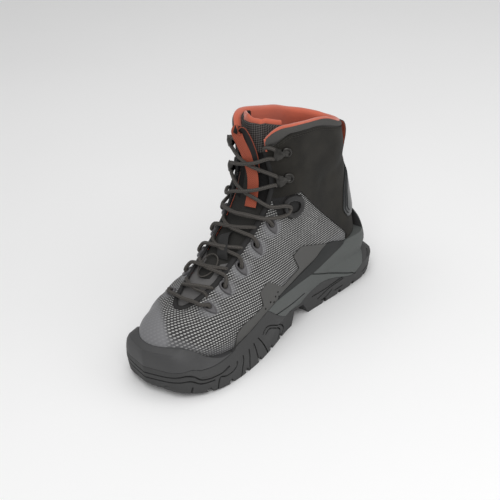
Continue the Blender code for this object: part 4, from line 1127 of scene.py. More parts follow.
def tongue_material(name, colours):
    """The tongue's face: grey knit at the top, and below it brown-grey cloth between black sides."""
    material, tree, shader = blank(name, 0.9, Specular_IOR_Level=0.25)
    strand = braided(tree, 0.0026, 0.0024).outputs["Strand"]
    place = tree.nodes.new("ShaderNodeTexCoord")
    parts = add(tree, "ShaderNodeSeparateXYZ", {"Vector": place.outputs["Object"]})
    top = spread(tree, parts.outputs[2], 0.1955, 0.1965)
    low = spread(tree, parts.outputs[2], 0.146, 0.1445)
    side = spread(tree, sums(tree, "ABSOLUTE", parts.outputs[0]), 0.0075, 0.0085)
    knit = mixed(tree, strand, toned(colours.tongue_knit, 0.12), toned(colours.tongue_knit, 1.5))
    cloth = mixed(tree, strand, toned(colours.tongue_cloth, 0.85), colours.tongue_cloth)
    middle = mixed(tree, side, cloth, colours.tongue_black)
    base = mixed(tree, low, mixed(tree, top, middle, knit), cloth)
    tree.links.new(base, shader.inputs["Base Color"])
    raised(tree, shader, strand, 0.2, 0.7)
    return material


def metal_material(name, colour):
    """Dark metal, rubbed paler and smoother in places."""
    material, tree, shader = blank(name, 0.34, Metallic=1.0)
    grain = grained(tree, 220.0, 2500.0)
    blotch = grain.outputs["Blotch"]
    tree.links.new(mixed(tree, blotch, toned(colour, 0.7), toned(colour, 1.4)), shader.inputs["Base Color"])
    tree.links.new(spread(tree, blotch, 0.3, 0.7, 0.26, 0.42), shader.inputs["Roughness"])
    raised(tree, shader, grain.outputs["Grain"], 0.03, 0.5)
    return material


def length_property(name, description, value):
    """A length of the panel, in metres."""
    return bpy.props.FloatProperty(name=name, description=description, default=value, unit="LENGTH")


class BootSizes(bpy.types.PropertyGroup):
    """Sizes that change how the boot looks."""

    weave_pitch: length_property("Weave pitch", "Distance between two dashes of a row", 0.0034)
    weave_row: length_property("Weave row", "Distance between two rows of dashes", 0.0019)
    lace_radius: length_property("Lace radius", "Half of the lace's thickness", 0.0020)
    groove_width: length_property("Groove width", "Width of the grooves in the sole's side", 0.0015)
    groove_depth: length_property("Groove depth", "Depth of the grooves in the sole's side", 0.0022)
    stitch_length: length_property("Stitch length", "Length of one stitch", 0.0022)
    binding_width: length_property("Binding width", "Width of the binding round the throat", 0.0050)


def colour_property(name, description, value):
    """A colour of the panel."""
    return bpy.props.FloatVectorProperty(
        name=name, description=description, subtype="COLOR", size=3, default=value, min=0, max=1)


class BootColours(bpy.types.PropertyGroup):
    """Colours of the boot's materials."""

    rubber: colour_property("Rubber", "Tread and toe", (0.04, 0.04, 0.04))
    toe_rubber: colour_property("Toe rubber", "Toe bumper", (0.048, 0.048, 0.049))
    stabiliser: colour_property("Stabiliser", "Stiff side of the sole", (0.076, 0.082, 0.079))
    strip: colour_property("Strip", "Dark strip over the stabiliser", (0.021, 0.022, 0.022))
    side_panel: colour_property("Side panel", "Film above the sole", (0.062, 0.061, 0.058))
    nubuck: colour_property("Nubuck", "Ankle panel", (0.0165, 0.0152, 0.0128))
    collar: colour_property("Collar", "Padded band round the collar", (0.05, 0.048, 0.045))
    lining: colour_property("Lining", "Inside of the collar", (0.50, 0.11, 0.06))
    webbing: colour_property("Webbing", "Pull straps", (0.34, 0.072, 0.036))
    black: colour_property("Black", "Backs of the straps and the moulded loops", (0.009, 0.0085, 0.0085))
    lace: colour_property("Lace", "Lace", (0.062, 0.056, 0.05))
    yarn_dark: colour_property("Dark yarn", "Ground of the woven upper", (0.014, 0.014, 0.014))
    yarn_light: colour_property("Light yarn", "Dashes of the woven upper", (0.52, 0.515, 0.505))
    toe_film: colour_property("Toe film", "Clear film over the toe", (0.24, 0.24, 0.25))
    binding: colour_property("Binding", "Edge of the throat", (0.018, 0.0175, 0.0175))
    gusset: colour_property("Gusset", "Plain cloth below the laces", (0.11, 0.107, 0.106))
    tongue_knit: colour_property("Tongue knit", "Top of the tongue", (0.07, 0.064, 0.061))
    tongue_cloth: colour_property("Tongue cloth", "Middle of the tongue", (0.03, 0.029, 0.027))
    tongue_black: colour_property("Tongue black", "Sides of the tongue", (0.009, 0.0085, 0.0085))
    eyelet: colour_property("Eyelet", "Moulded eyelets", (0.075, 0.072, 0.076))
    metal: colour_property("Metal", "Hooks and rivets", (0.055, 0.053, 0.050))
    clip: colour_property("Clip", "Glossy clip at the heel", (0.026, 0.028, 0.029))
    floor: colour_property("Floor", "Floor below the boot", (0.95, 0.95, 0.95))


def given(context):
    """The scene's sizes and colours."""
    return context.scene.boot_sizes, context.scene.boot_colours


# Pieces


def without_throat(piece, rows):
    """Takes the throat's opening out of a sheet that was laid over the whole upper."""
    wide = COLUMNS - 1
    mesh = piece.data
    pick(piece)
    mesh.vertices.foreach_set("select", [False] * len(mesh.vertices))
    bpy.ops.object.mode_set(mode="EDIT")
    bpy.ops.mesh.select_mode(type="FACE")
    bpy.ops.object.mode_set(mode="OBJECT")
    for face in mesh.polygons:
        row, column = divmod(face.index, wide)
        face.select = row >= rows and abs(column + 0.5 - MIDDLE) < FRONT_STEPS
    bpy.ops.object.mode_set(mode="EDIT")
    bpy.ops.mesh.delete(type="FACE")
    bpy.ops.mesh.select_mode(type="VERT")
    bpy.ops.object.mode_set(mode="OBJECT")
    return piece


def unwrapped(piece, front):
    """Lays the upper out flat, with the vamp's middle line along V and a scale of one metre."""
    edit(piece, (bpy.ops.uv.unwrap, {"method": "ANGLE_BASED", "margin": 0.0}))
    mesh = piece.data
    corners = corner_vertices(mesh)
    uv = np.zeros(len(corners) * 2)
    mesh.uv_layers.active.data.foreach_get("uv", uv)
    uv = uv.reshape(-1, 2)
    points = vertex_places(mesh)
    spots = np.zeros((len(points), 2))
    spots[corners] = uv
    edges = np.array([edge.vertices[:] for edge in mesh.edges])
    real = np.linalg.norm(points[edges[:, 0]] - points[edges[:, 1]], axis=1)
    flat = np.linalg.norm(spots[edges[:, 0]] - spots[edges[:, 1]], axis=1)
    scale = np.median(real / np.maximum(flat, 1e-9))
    low, high = (int(np.argmin(np.linalg.norm(points - np.array(p) * MM, axis=1))) for p in front)
    line = spots[low] - spots[high]
    turn = math.pi / 2 - math.atan2(line[1], line[0])
    matrix = np.array([[math.cos(turn), -math.sin(turn)], [math.sin(turn), math.cos(turn)]])
    mesh.uv_layers.active.data.foreach_set("uv", ((uv @ matrix.T) * scale).ravel())


def film_over(piece):
    """Writes where the clear film lies: over the toe, along the sole's edge and round the eyelets."""
    mesh = piece.data
    points = vertex_places(mesh) / MM
    toe = eased((points[:, 1] + 0.75 * points[:, 0] - 0.10 * points[:, 2] - 222) / 7)
    edge_line = sorted(side_points(SOLE_EDGE[:8]) + side_points(WEDGE_EDGE[:4]))
    edge = np.interp(points[:, 1], *zip(*edge_line))
    film = np.maximum(toe, 0.45 * eased((edge + 11 - points[:, 2]) / 6))
    for side in (LATERAL, MEDIAL):
        for spot in EYELETS:
            place, _ = beside(side, *spot)
            near = np.linalg.norm(points - (place - np.array([0, 0, 3.0])), axis=1)
            film = np.maximum(film, 0.9 * eased((11.5 - near) / 3))
    layer = mesh.attributes.new("film", "FLOAT", "POINT")
    layer.data.foreach_set("value", film.astype(np.float32))


def build_upper(sizes, colours):
    """The woven upper, open at the throat."""
    levels = np.arange(0, COLLAR_LEVEL - ROW_STEP / 2, ROW_STEP)
    upper = lofted("woven_upper", on_skin(bent(levels)))
    without_throat(upper, int(THROAT_LEVEL / ROW_STEP))
    unwrapped(upper, (on_skin(bent([4.5]))[0, MIDDLE], on_skin(bent([2.5]))[0, MIDDLE]))
    film_over(upper)
    edit(upper, (bpy.ops.mesh.remove_doubles, {"threshold": WELD}))
    thickened(upper, UPPER_WALL)
    dressed(upper, weave_material("woven upper", sizes, colours), "upper", angle=50)


def pinhole(panel, side, y, z):
    """Cuts one pinhole into a side panel and returns its dark floor."""
    turns = np.arange(9) * math.pi / 4
    spot = [(y + PINHOLE * math.cos(t), z + PINHOLE * math.sin(t)) for t in turns]
    cut(panel, block(spot[:-1], *sorted((0, side * HALF_SPACE))))
    rims = [
        [beside_at(side, y + (py - y) * size, z + (pz - z) * size, 0.35)[0] for py, pz in spot]
        for size in (0.02, 1.2)
    ]
    return lofted("pinhole_shade", rims[::side], close=True)


def build_side_panels(colours):
    """The film panel above the sole on both sides, with its pinholes and their dark floors."""
    lines = sole_lines()
    film = plain_material("side panel film", colours.side_panel)
    # Near-black material for the discs below the pinholes: painted shade.
    hole_shade = plain_material("painted hole shade", HOLE_SHADE_COLOUR, Specular_IOR_Level=0.05)
    levels = np.arange(0, PANEL_TOP_LEVEL + ROW_STEP / 2, ROW_STEP)
    overlay = softened(side_points(OVERLAY_EDGE), 3.0) + lines["wedge"][19::-1] + lines["edge_side"][:4:-1]
    for side, word, columns in (
        (LATERAL, "lateral", slice(MIDDLE + 8, COLUMNS)), (MEDIAL, "medial", slice(0, MIDDLE - 7)),
    ):
        sheet = lofted("side_panel_" + word, on_skin(bent(levels), GAP + PANEL_WALL)[:, columns])
        panel = thickened(sheet, PANEL_WALL)
        trimmed(panel, overlay, *sorted((0, side * HALF_SPACE)))
        # The discs below the pinholes are painted shade in the holes.
        floor = joined([pinhole(panel, side, y, z) for y, z in side_points(PINHOLES)])
        floor.name = "pinhole_shades_" + word
        dressed(floor, hole_shade)
        dressed(panel, film, "side_overlay_" + word)


def build_ankle_panel(colours):
    """The nubuck round the ankle and the heel."""
    levels = np.arange(1, COLLAR_LEVEL + ROW_STEP / 2, ROW_STEP)
    seam = softened(curved(side_points(ANKLE_SEAM[1:5]), 4), 1.0)
    top = [(y, z - SEAM_GAP) for y, z in curved(side_points(COLLAR_SEAM), 4)[::-1]]
    ankle = (
        side_points(ANKLE_SEAM[:1]) + seam + side_points(ANKLE_SEAM[5:])
        + side_points(STABILISER_EDGE[-1:]) + side_points(ARCH_LINE[-2:]) + top
    )
    sheet = lofted("nubuck_panel", round_the_heel(on_skin(bent(levels), GAP + NUBUCK_WALL)))
    thickened(sheet, NUBUCK_WALL)
    trimmed(sheet, ankle)
    nubuck = plain_material(
        "nubuck", colours.nubuck, Sheen_Weight=0.04, Sheen_Roughness=0.6, Specular_IOR_Level=0.22)
    dressed(sheet, nubuck, "ankle_panel")


def build_panels(sizes, colours):
    """The side panels, the ankle panel and its stitches."""
    build_side_panels(colours)
    build_ankle_panel(colours)
    build_stitches(sizes, colours)


def seam_levels(line):
    """The level at which each column of the upper meets a line of the side."""
    ys, zs = zip(*sorted(curved(side_points(line), 4)))
    levels = []
    for column in range(COLUMNS):
        heights = SKIN[:, column, 2] - np.interp(SKIN[:, column, 1], ys, zs)
        above = np.flatnonzero(heights > 0)
        if len(above):
            k = above[0]
            part = heights[k] / (heights[k] - heights[k - 1]) if k else 0
            levels.append(SKIN_LEVELS[k] - SKIN_STEP * part)
        else:
            levels.append(COLLAR_LEVEL)
    return np.convolve(np.pad(levels, 3, mode="edge"), np.ones(7) / 7, mode="valid")


def build_stitches(sizes, colours):
    """Two rows of stitches below the collar's seam."""
    pitch = sizes.stitch_length / MM * STITCH_PITCH
    seam = seam_levels(COLLAR_SEAM)
    base = bent([COLLAR_LEVEL])[0]
    stitches = []
    for drop in STITCH_DROPS:
        levels = np.minimum(seam, base - SEAM_BELOW_RIM) - drop
        ring = on_skin(levels[None], GAP + 1.5)[0]
        for path in (ring[:MIDDLE - FRONT_STEPS - 1], ring[MIDDLE + FRONT_STEPS + 2:]):
            total = np.linalg.norm(np.diff(path, axis=0), axis=1).sum()
            spots = resample(path, int(total / pitch) * 3)
            for start, end in zip(spots[:-3:3], spots[2::3]):
                middle = (start + end) / 2
                _, out = landed(middle, (-middle[0], 0, 0))
                bow = [start - out * 0.30, middle + out * 0.15, end - out * 0.30]
                stitches.append(tube("stitch", curved(bow, 2), STITCH_RADIUS, 6))
    piece = joined(stitches)
    piece.name = "collar_stitches"
    dressed(piece, plain_material("stitching thread", toned(colours.nubuck, 1.6)))


def rim_rise():
    """How far the rim's height differs from the upper's own edge, for each column."""
    place = on_skin(bent([COLLAR_LEVEL]))[0]
    rise = sum(high * np.exp(-((place[:, 1] - y) / reach) ** 2) for y, reach, high in INNER_RIM)
    return rise * eased(place[:, 0] / 12)


def build_collar(sizes, colours):
    """The padded band round the collar, the lining that rolls over its edge, a tape and the piping."""
    rim = bent([COLLAR_LEVEL])[0]
    seam = np.minimum(seam_levels(COLLAR_SEAM), rim - SEAM_BELOW_RIM)
    rise = rim_rise()
    rows = []
    for share, distance in PAD_PROFILE:
        row = on_skin((seam + (rim - seam) * share)[None], distance)[0]
        row[:, 2] += share * rise
        rows.append(row)
    rows[-1][:, 2] += 0.3
    band = thickened(lofted("collar_pad", round_the_heel(np.array(rows))), 1.2)
    padded = plain_material("padded collar cloth", colours.collar)
    dressed(band, padded, "collar_band", angle=60)
    rows = []
    for below, distance, lift in LINING_PROFILE:
        row = on_skin((rim - below * rim / COLLAR_LEVEL)[None], distance)[0]
        row[:, 2] += lift + rise * max(0, 1 - below / 2)
        rows.append(row)
    lining = lofted("collar_lining", round_the_heel(np.array(rows)[::-1])[:, ::-1])
    thickened(lining, LINING_WALL)
    cloth = plain_material("lining cloth", colours.lining, Sheen_Weight=0.35, Sheen_Roughness=0.5)
    dressed(lining, cloth, angle=60)
    places = on_skin(rim[None])[0]
    columns = [k for k in range(MIDDLE - FRONT_STEPS) if TAPE_FROM < places[k, 1] < TAPE_TO]
    rows = []
    for below, distance in TAPE_PROFILE:
        row = on_skin((rim - below)[None], distance)[0]
        row[:, 2] += rise
        rows.append(row[columns])
    tape = thickened(lofted("collar_tape", np.array(rows)[::-1]), 0.5)
    dressed(tape, cord_material("collar tape", colours.black))
    for word, column in (("lateral", MIDDLE + FRONT_STEPS), ("medial", MIDDLE - FRONT_STEPS)):
        levels = np.linspace(PIPING_FROM, rim[column], 12)
        path = on_skin(levels[:, None], 0.9)[:, column]
        path[-1, 2] += 1.0
        dressed(tube("throat_piping_" + word, path, PIPING_RADIUS, 10), cloth, angle=60)


def throat_path():
    """The throat's edge from the lateral collar down round its lower end and up the medial side."""
    rows = np.arange(THROAT_LEVEL, COLLAR_LEVEL - 0.5, ROW_STEP)
    sides = on_skin(bent(rows))
    normals = on_skin(bent(rows), 1.0) - sides
    low = on_skin(bent([THROAT_LEVEL]))[0]
    low_out = on_skin(bent([THROAT_LEVEL]), 1.0)[0] - low
    left, right = MIDDLE + FRONT_STEPS, MIDDLE - FRONT_STEPS
    points = np.concatenate([sides[:0:-1, left], low[right:left + 1][::-1], sides[1:, right]])
    out = np.concatenate([normals[:0:-1, left], low_out[right:left + 1][::-1], normals[1:, right]])
    return points, out


def build_throat(sizes, colours):
    """The binding round the throat and the plain gusset below the laces."""
    points, out = throat_path()
    away = np.cross(directions(points), out)
    away /= np.linalg.norm(away, axis=1, keepdims=True)
    width = sizes.binding_width / MM
    profile = [
        (width, 0.15), (width - 0.4, 0.8), (width * 0.5, 1.2), (0.6, 1.4), (-0.5, 0.8), (-0.8, -0.8),
        (-0.2, -2.6),
    ]
    rows = np.array([points + away * a + out * b for a, b in profile])
    edge = thickened(lofted("throat_binding", rows), 0.6)
    binding = plain_material("throat binding", colours.binding, Specular_IOR_Level=0.3)
    dressed(edge, binding, angle=60)
    levels = np.arange(GUSSET_FROM, GUSSET_TO + 0.01, ROW_STEP)
    spans = slice(MIDDLE - GUSSET_REACH, MIDDLE + GUSSET_REACH + 1)
    gusset = thickened(lofted("toe_gusset", on_skin(bent(levels), GUSSET_DEPTH)[:, spans]), 0.8)
    dressed(gusset, plain_material("gusset cloth", colours.gusset), angle=60)


def build_tongue(sizes, colours):
    """The padded tongue: its face, and the lining that rolls over its top and down behind it."""
    levels = np.arange(TONGUE_FROM, TONGUE_TO + 0.01, ROW_STEP)
    columns = np.arange(-TONGUE_REACH, TONGUE_REACH + 1)
    wall = np.interp(levels, WALL_LEVELS, WALL_SIZES)[:, None]
    open_part = eased((11.5 - SPAN) / 3.5)
    ridge = 0.6 * np.cos(SPAN / 7 * math.pi) * open_part
    depth = -(wall + 0.5) * (1 - open_part) - 1.6 * open_part + ridge
    face, back = (on_skin(levels[:, None], depth - off)[:, MIDDLE + columns] for off in (0, TONGUE_DEPTH))
    top = TONGUE_TOP - TONGUE_ROUND * columns ** 2
    stretch = eased((levels - 12) / 3)[:, None]
    for rows in (face, back):
        rows[:, :, 2] += (top - rows[-1, :, 2])[None, :] * stretch

    def over(t, rise):
        row = face[-1] * (1 - t) + back[-1] * t
        row[:, 2] += rise
        return row

    edge = [over(t, rise) for t, rise in TONGUE_EDGE]
    bump = LINING_BUMP * np.exp(-((columns + 3.5) / 3.0) ** 2)
    roll = [
        over(t, LINING_LOW + (LINING_ROLL - LINING_LOW + bump) * math.sin(math.pi * k) ** 0.7)
        for t, k in ROLL_STEPS
    ]
    shares = 0.62 + 0.32 * eased((levels - 12) / 2)
    back = np.array([
        np.stack([np.interp(columns * share, columns, row[:, k]) for k in range(3)], 1)
        for row, share in zip(back, shares)
    ])
    knit = thickened(lofted("padded_tongue", np.concatenate([face, np.array(edge)])), 0.9)
    dressed(knit, tongue_material("tongue cloth", colours), "tongue", angle=60)
    behind = thickened(lofted("tongue_lining", np.concatenate([np.array(roll), back[::-1]])[:, 2:-2]), 0.9)
    dressed(behind, bpy.data.materials["lining cloth"], angle=60)


def strap_back(path):
    """The black back of the pull strap, from its loop's turn on."""
    up = np.cross(PULL_ACROSS, directions(path))
    up /= np.linalg.norm(up, axis=1, keepdims=True)
    path = (path + up * PULL_BACK_OFF)[PULL_BACK_FROM:]
    return ribbon("tongue_pull_backing", path, PULL_ACROSS, *PULL_BACK)


def loop_back(path):
    """The coloured inner face of the heel's pull loop."""
    up = np.cross(HEEL_LOOP_ACROSS, directions(path))
    return ribbon("heel_pull_inside", path - up * LOOP_BACK_OFF, HEEL_LOOP_ACROSS, *LOOP_BACK)


def build_pulls(sizes, colours):
    """The pull strap on the tongue, its keeper and hoop, and the pull loop on the heel."""
    orange = cord_material("pull webbing", colours.webbing)
    black = cord_material("black webbing", colours.black)
    path = np.array([in_front(x, z * BOOT_HEIGHT, d)[0] for x, z, d in STRAP_PATH])
    path = np.array(curved(path, 4))
    dressed(ribbon("tongue_pull", path, PULL_ACROSS, *PULL_BAND), orange, "tongue_strap")
    dressed(strap_back(path), black)
    path = np.array(curved([(HEEL_LOOP_PLACE, y - HEEL_TO_ORIGIN, z) for y, z in HEEL_LOOP_PATH], 4))
    dressed(ribbon("heel_pull", path, HEEL_LOOP_ACROSS, *LOOP_BAND), black, "heel_loop")
    dressed(loop_back(path), orange)
    keeper = curved([in_front(*spot)[0] for spot in KEEPER_PATH], 4)
    strip = ribbon("lace_keeper", keeper, KEEPER_ACROSS, *KEEPER_BAND)
    dressed(strip, cord_material("keeper webbing", colours.binding))
    x, z = HOOP_PLACE
    wide, high = HOOP_AXES
    turns = np.linspace(0, 2 * math.pi, 41)[:-1]
    ring = [in_front(x + wide * math.cos(t), z + high * math.sin(t), HOOP_OFF)[0] for t in turns]
    hoop = tube("tongue_ring", np.array(ring + ring[:1]), HOOP_RADIUS, 8)
    dressed(hoop, bpy.data.materials["lace cord"])


def sole_side(side, flared):
    """The tread's outline on one side, or the flare's above it."""
    stations, lateral, medial = zip(*SOLE_OUTLINE)
    halves = lateral if side == LATERAL else medial
    t = 0.5 - 0.5 * np.cos(np.pi * np.linspace(0, 1, LINE_SAMPLES))
    share = stations[0] + (stations[-1] - stations[0]) * t
    half = np.maximum(hermite(stations, halves, share), 0) * SOLE_WIDTH / 2
    centre = hermite(CENTRE_STATIONS, CENTRE_SHIFT, share) * BALL_WIDTH
    height = np.maximum(hermite(TREAD_STATIONS, TREAD_HEIGHT, share), 0)
    line = np.stack([centre + side * half, along(share), height], 1)
    if flared:
        tangent = np.gradient(line[:, :2], axis=0)
        away = np.stack([tangent[:, 1], -tangent[:, 0]], 1) * side
        away /= np.linalg.norm(away, axis=1, keepdims=True)
        line[:, :2] += away * hermite(FLARE_STATIONS, FLARE_OUT, share)[:, None]
        line[:, 2] = hermite(FLARE_STATIONS, FLARE_HEIGHT, share)
        line[[0, -1], 0] = centre[[0, -1]]
    return divided(line, half, SOLE_FRONT_HALF)


def sole_lines():
    """The smooth lines that part the pieces of the sole."""
    edge, toe, arch = side_points(SOLE_EDGE), side_points(TOE_LINE), side_points(ARCH_LINE)
    return {
        "edge_cap": curved(edge[:8]),
        "edge_side": curved(edge[7:]),
        "toe": curved(toe),
        "arch": curved(arch[:14]),
        "end": arch[14:],
        "stabiliser": curved(side_points(STABILISER_EDGE)),
        "wedge": curved(side_points(WEDGE_EDGE)),
    }


def lidded(name, rings):
    """A closed form through a stack of rings, with a lid at both ends."""
    rings = np.asarray(rings, float)
    low, high = (((ring + ring[::-1]) / 2)[None] for ring in (rings[0], rings[-1]))
    return lofted(name, np.concatenate([low, rings, high]), close=True)


def sole_rings():
    """The sole's rings, from the tread up over the flare to the edge against the upper."""
    tread, flare = (around(sole_side(MEDIAL, flared), sole_side(LATERAL, flared)) for flared in (False, True))
    levels = np.concatenate([[0.5], np.arange(0.75, 4.01, 0.25)])
    skin = on_skin(levels[:, None])
    out = on_skin(levels[:, None], 1.0) - skin
    behind = eased((along(HEEL_END) - skin[:, :, 1]) / (along(HEEL_END) - along(0.0)))
    spread_out = np.interp(levels, SIDE_LEVELS, SIDE_OUT)[:, None]
    heel = np.interp(levels, SIDE_LEVELS, HEEL_OUT)[:, None]
    below = np.interp(skin[:, :, 1], *zip(*side_points(SOLE_TOP))) - skin[:, :, 2]
    rounded = rounding(below, EDGE_ROUND + HEEL_ROUND * behind)
    reach = EDGE_OUT + (spread_out + heel * behind - EDGE_OUT) * rounded
    sides = skin + out * reach[:, :, None]
    toe = eased((skin[:, :, 1] - along(TOE_START)) / (along(TOE_FULL) - along(TOE_START)))
    full = (toe * rounding(below, TOE_ROUND))[:, :, None]
    sides[:, :, :2] += (flare[None, :, :2] - sides[:, :, :2]) * full
    lower = []
    for t in (0.0, 0.06, 0.2, 0.4, 0.6, 0.8):
        ring = tread * (1 - t) + flare * t
        bulge = 0.22 * math.sin(math.pi * min(t * 1.2, 1.0)) * (1 - t)
        swell = min(1.0, t + bulge + (0.03 if t else -0.015))
        ring[:, :2] = tread[:, :2] * (1 - swell) + flare[:, :2] * swell
        lower.append(ring)
    return np.concatenate([lower, flare[None], sides])


def grooved(piece, lines, width, core):
    """Cuts grooves of one width into a piece, as deep as a core leaves them."""
    for line in lines:
        tool = block(groove_outline(curved(side_points(line), 4), width), -HALF_SPACE, HALF_SPACE)
        cut(tool, lidded("core", core))
        cut(piece, tool)


def build_sole(sizes, colours):
    """The tread unit, toe bumper, stabiliser and strips, cut from one form along the sole's lines."""
    rings = sole_rings()
    form = lidded("sole_form", rings)
    core = rings - outward(rings) * (sizes.groove_depth / MM)
    core[0, :, 2] -= 20
    seat = on_skin(np.arange(0, 5.01, 0.25)[:, None], 0.15)
    seat[0, :, 2] -= GAP
    cut(form, lidded("seat", seat))
    lines = sole_lines()
    under = [(lines["end"][0][0], -20.0)] + side_points(ARCH_GAP) + [(lines["toe"][0][0], -20.0)]
    wedge = lines["wedge"] + lines["stabiliser"][24:5:-1]
    around_tread = under + lines["toe"] + lines["edge_side"][1:] + lines["arch"][1:] + lines["end"]
    outlines = {
        "tread_unit": (around_tread, -1, 1),
        "toe_bumper": (lines["edge_cap"] + lines["toe"][-2::-1], -1, 1),
        "stabiliser": (lines["stabiliser"] + lines["arch"][60:0:-1], -1, 1),
        "edge_strip_lateral": (wedge, -1, 0),
        "edge_strip_medial": (wedge, 0, 1),
    }
    made = {}
    for name, (outline, low, high) in outlines.items():
        made[name] = trimmed(copied(form, name), outline, low * HALF_SPACE, high * HALF_SPACE)
    bpy.data.objects.remove(form)
    slots = [groove_outline(side_points(line), TREAD_SLOT) for line in TREAD_SLOTS]
    cut(made["tread_unit"], joined([block(slot, -HALF_SPACE, HALF_SPACE) for slot in slots]))
    width = sizes.groove_width / MM
    grooved(made["tread_unit"], SIDE_GROOVES, width, core)
    grooved(made["stabiliser"], STABILISER_GROOVES, width, core)
    strip = plain_material("edge strip", colours.strip, Specular_IOR_Level=0.3)
    dressed(made["tread_unit"], plain_material("tread rubber", colours.rubber), "outsole")
    dressed(made["toe_bumper"], plain_material("toe rubber", colours.toe_rubber), "toe_cap")
    dressed(made["stabiliser"], plain_material("stabiliser", colours.stabiliser), "midsole")
    dressed(made["edge_strip_lateral"], strip, "side_wedge_lateral")
    dressed(made["edge_strip_medial"], strip, "side_wedge_medial")
    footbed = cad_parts["insole"]
    footbed.data.materials.clear()
    footbed.data.materials.append(plain_material("footbed cloth", FOOTBED_COLOUR))


def build_clip(sizes, colours):
    """The glossy clip at the heel, stepped up in three layers."""
    levels = np.arange(CLIP_LEVELS[0], CLIP_LEVELS[1] + 0.01, ROW_STEP)
    outline = softened(side_points(CLIP_OUTLINE) + side_points(CLIP_OUTLINE[:1]), 3.5)[:-1]
    layers = []
    for inset, low, high in CLIP_LAYERS:
        sheet = lofted("heel_clip_layer", round_the_heel(on_skin(bent(levels), high)))
        layers.append(trimmed(thickened(sheet, high - low), outline, inset=inset))
    clip = layers[0]
    for layer in layers[1:]:
        cut(clip, layer, "UNION")
    clip.name = "heel_counter"
    dressed(clip, plain_material("glossy mould", colours.clip, Specular_IOR_Level=0.4), "heel_clip")


def half_outline(shape, steps):
    """A whole smooth outline from the half of it."""
    half = curved(shape, steps)
    return half + [(a, -b) for a, b in half[-2:0:-1]]


def plate_on(name, place, out, toward, outline, opening, shift, heights):
    """A moulded plate that lies on the upper, with an opening that is shifted along it."""
    ahead, across = facing(out, toward)
    outline = np.array(outline, float)
    opening = np.array(opening, float) + np.array([shift, 0.0])
    foot, shoulder, crest, lip, floor = heights
    rings = []
    for share, height in (
        (0.0, foot), (0.0, shoulder), (0.22, crest), (0.60, crest + 0.1), (1.0, lip), (1.0, floor),
    ):
        row = []
        for a, b in outline * (1 - share) + opening * share:
            spot, normal = landed(place + ahead * a + across * b + out * 10, -out)
            row.append(spot + normal * height)
        rings.append(row + row[:1])
    return lofted(name, rings, close=True)


def eyelet(side, number, tag, mould, hole_shade):
    """One eyelet's tab and the dark floor of its hole."""
    place, out = beside(side, *EYELETS[number - 1])
    outline = half_outline(EYELET_SHAPE, 3)
    turns = np.arange(len(outline)) * 2 * math.pi / len(outline)
    hole = [(HOLE_AXES[0] * math.cos(t), HOLE_AXES[1] * math.sin(t)) for t in turns]
    plate = plate_on("eyelet_" + tag, place, out, EYELET_TOWARD, outline, hole, HOLE_SHIFT, EYELET_HEIGHTS)
    finished_with(plate, "SUBSURF", levels=1, render_levels=1)
    dressed(plate, mould, "eyelet_tab_" + tag, angle=50)
    # A near-black disc in the hole: painted shade.
    ahead, across = facing(out, EYELET_TOWARD)
    rows = []
    for size in (1.0, 0.01):
        row = [place + ahead * (a * size + HOLE_SHIFT) + across * b * size + out * 0.25 for a, b in hole]
        rows.append(row + row[:1])
    dressed(lofted("eyelet_hole_shade_" + tag, rows, close=True), hole_shade)


def ankle_loop(side, word, mould):
    """The lace loop at the ankle, and the tape that holds it."""
    place, out = beside(side, *ANKLE_LOOP)
    outline, opening = half_outline(LOOP_SHAPE, 1), half_outline(LOOP_OPENING, 1)
    plate = plate_on("lace_loop_" + word, place, out, LOOP_TOWARD, outline, opening, 0.0, LOOP_HEIGHTS)
    finished_with(plate, "BEVEL", width=0.4 * MM, segments=2, limit_method="ANGLE", angle_limit=0.5)
    dressed(plate, mould, "ankle_loop_" + word, angle=25)
    band = [
        [
            landed(place + np.array([0, -ahead, rise - 0.35 * ahead]) + out * 10, -out, 0.5)[0]
            for rise in np.linspace(-10.0, 12.0, 8)
        ]
        for ahead in (-20.0, -16.0, -12.0, -8.0, -3.0, 2.0, 7.0)
    ]
    tape = thickened(lofted("loop_tape_" + word, np.array(band)[:, ::side]), 0.7, 1.0)
    edit(tape, (bpy.ops.mesh.normals_make_consistent, {"inside": False}))
    dressed(tape, bpy.data.materials["collar tape"])


def build_eyelets(sizes, colours):
    """The eyelets and the ankle loops on both sides."""
    mould = plain_material("eyelet mould", colours.eyelet)
    loop_mould = plain_material("loop mould", toned(colours.black, 1.5), Specular_IOR_Level=0.4)
    # The near-black of the eyelet holes is painted shade.
    hole_shade = bpy.data.materials["painted hole shade"]
    for side, word in ((LATERAL, "lateral"), (MEDIAL, "medial")):
        for number in range(1, len(EYELETS) + 1):
            eyelet(side, number, "%s_%d" % (word, number), mould, hole_shade)
        ankle_loop(side, word, loop_mould)


def hook(side, spot, name):
    """A lace hook: a rivet through a round base, and a shield-shaped plate that curls over the lace."""
    place, out = beside(side, *spot)
    back, up = facing(out, (0, -1, -0.1))
    base = place + out * (GAP + 1.35)
    rows = []
    for ahead, half, height in SHIELD:
        middle = base + back * ahead + out * height
        rows.append([middle + up * half * s + out * SHIELD_SAG * abs(s) for s in (-1, -0.45, 0, 0.45, 1)])
    plate = thickened(lofted("hook_plate", np.array(rows)), 1.1, 0.0)
    finished_with(plate, "BEVEL", width=0.25 * MM, segments=2, limit_method="ANGLE", angle_limit=1.0)
    centre = base + back * RIVET_BACK
    turns = np.linspace(0, 2 * math.pi, 25)
    rings = [
        [centre + (back * math.cos(t) + up * math.sin(t)) * radius + out * height for t in turns]
        for radius, height in RIVET
    ]
    stud = lofted("hook_rivet", np.array(rings), close=True)
    edit(stud, (bpy.ops.mesh.normals_make_consistent, {"inside": False}))
    whole = joined([stud, plate])
    whole.name = name
    return whole


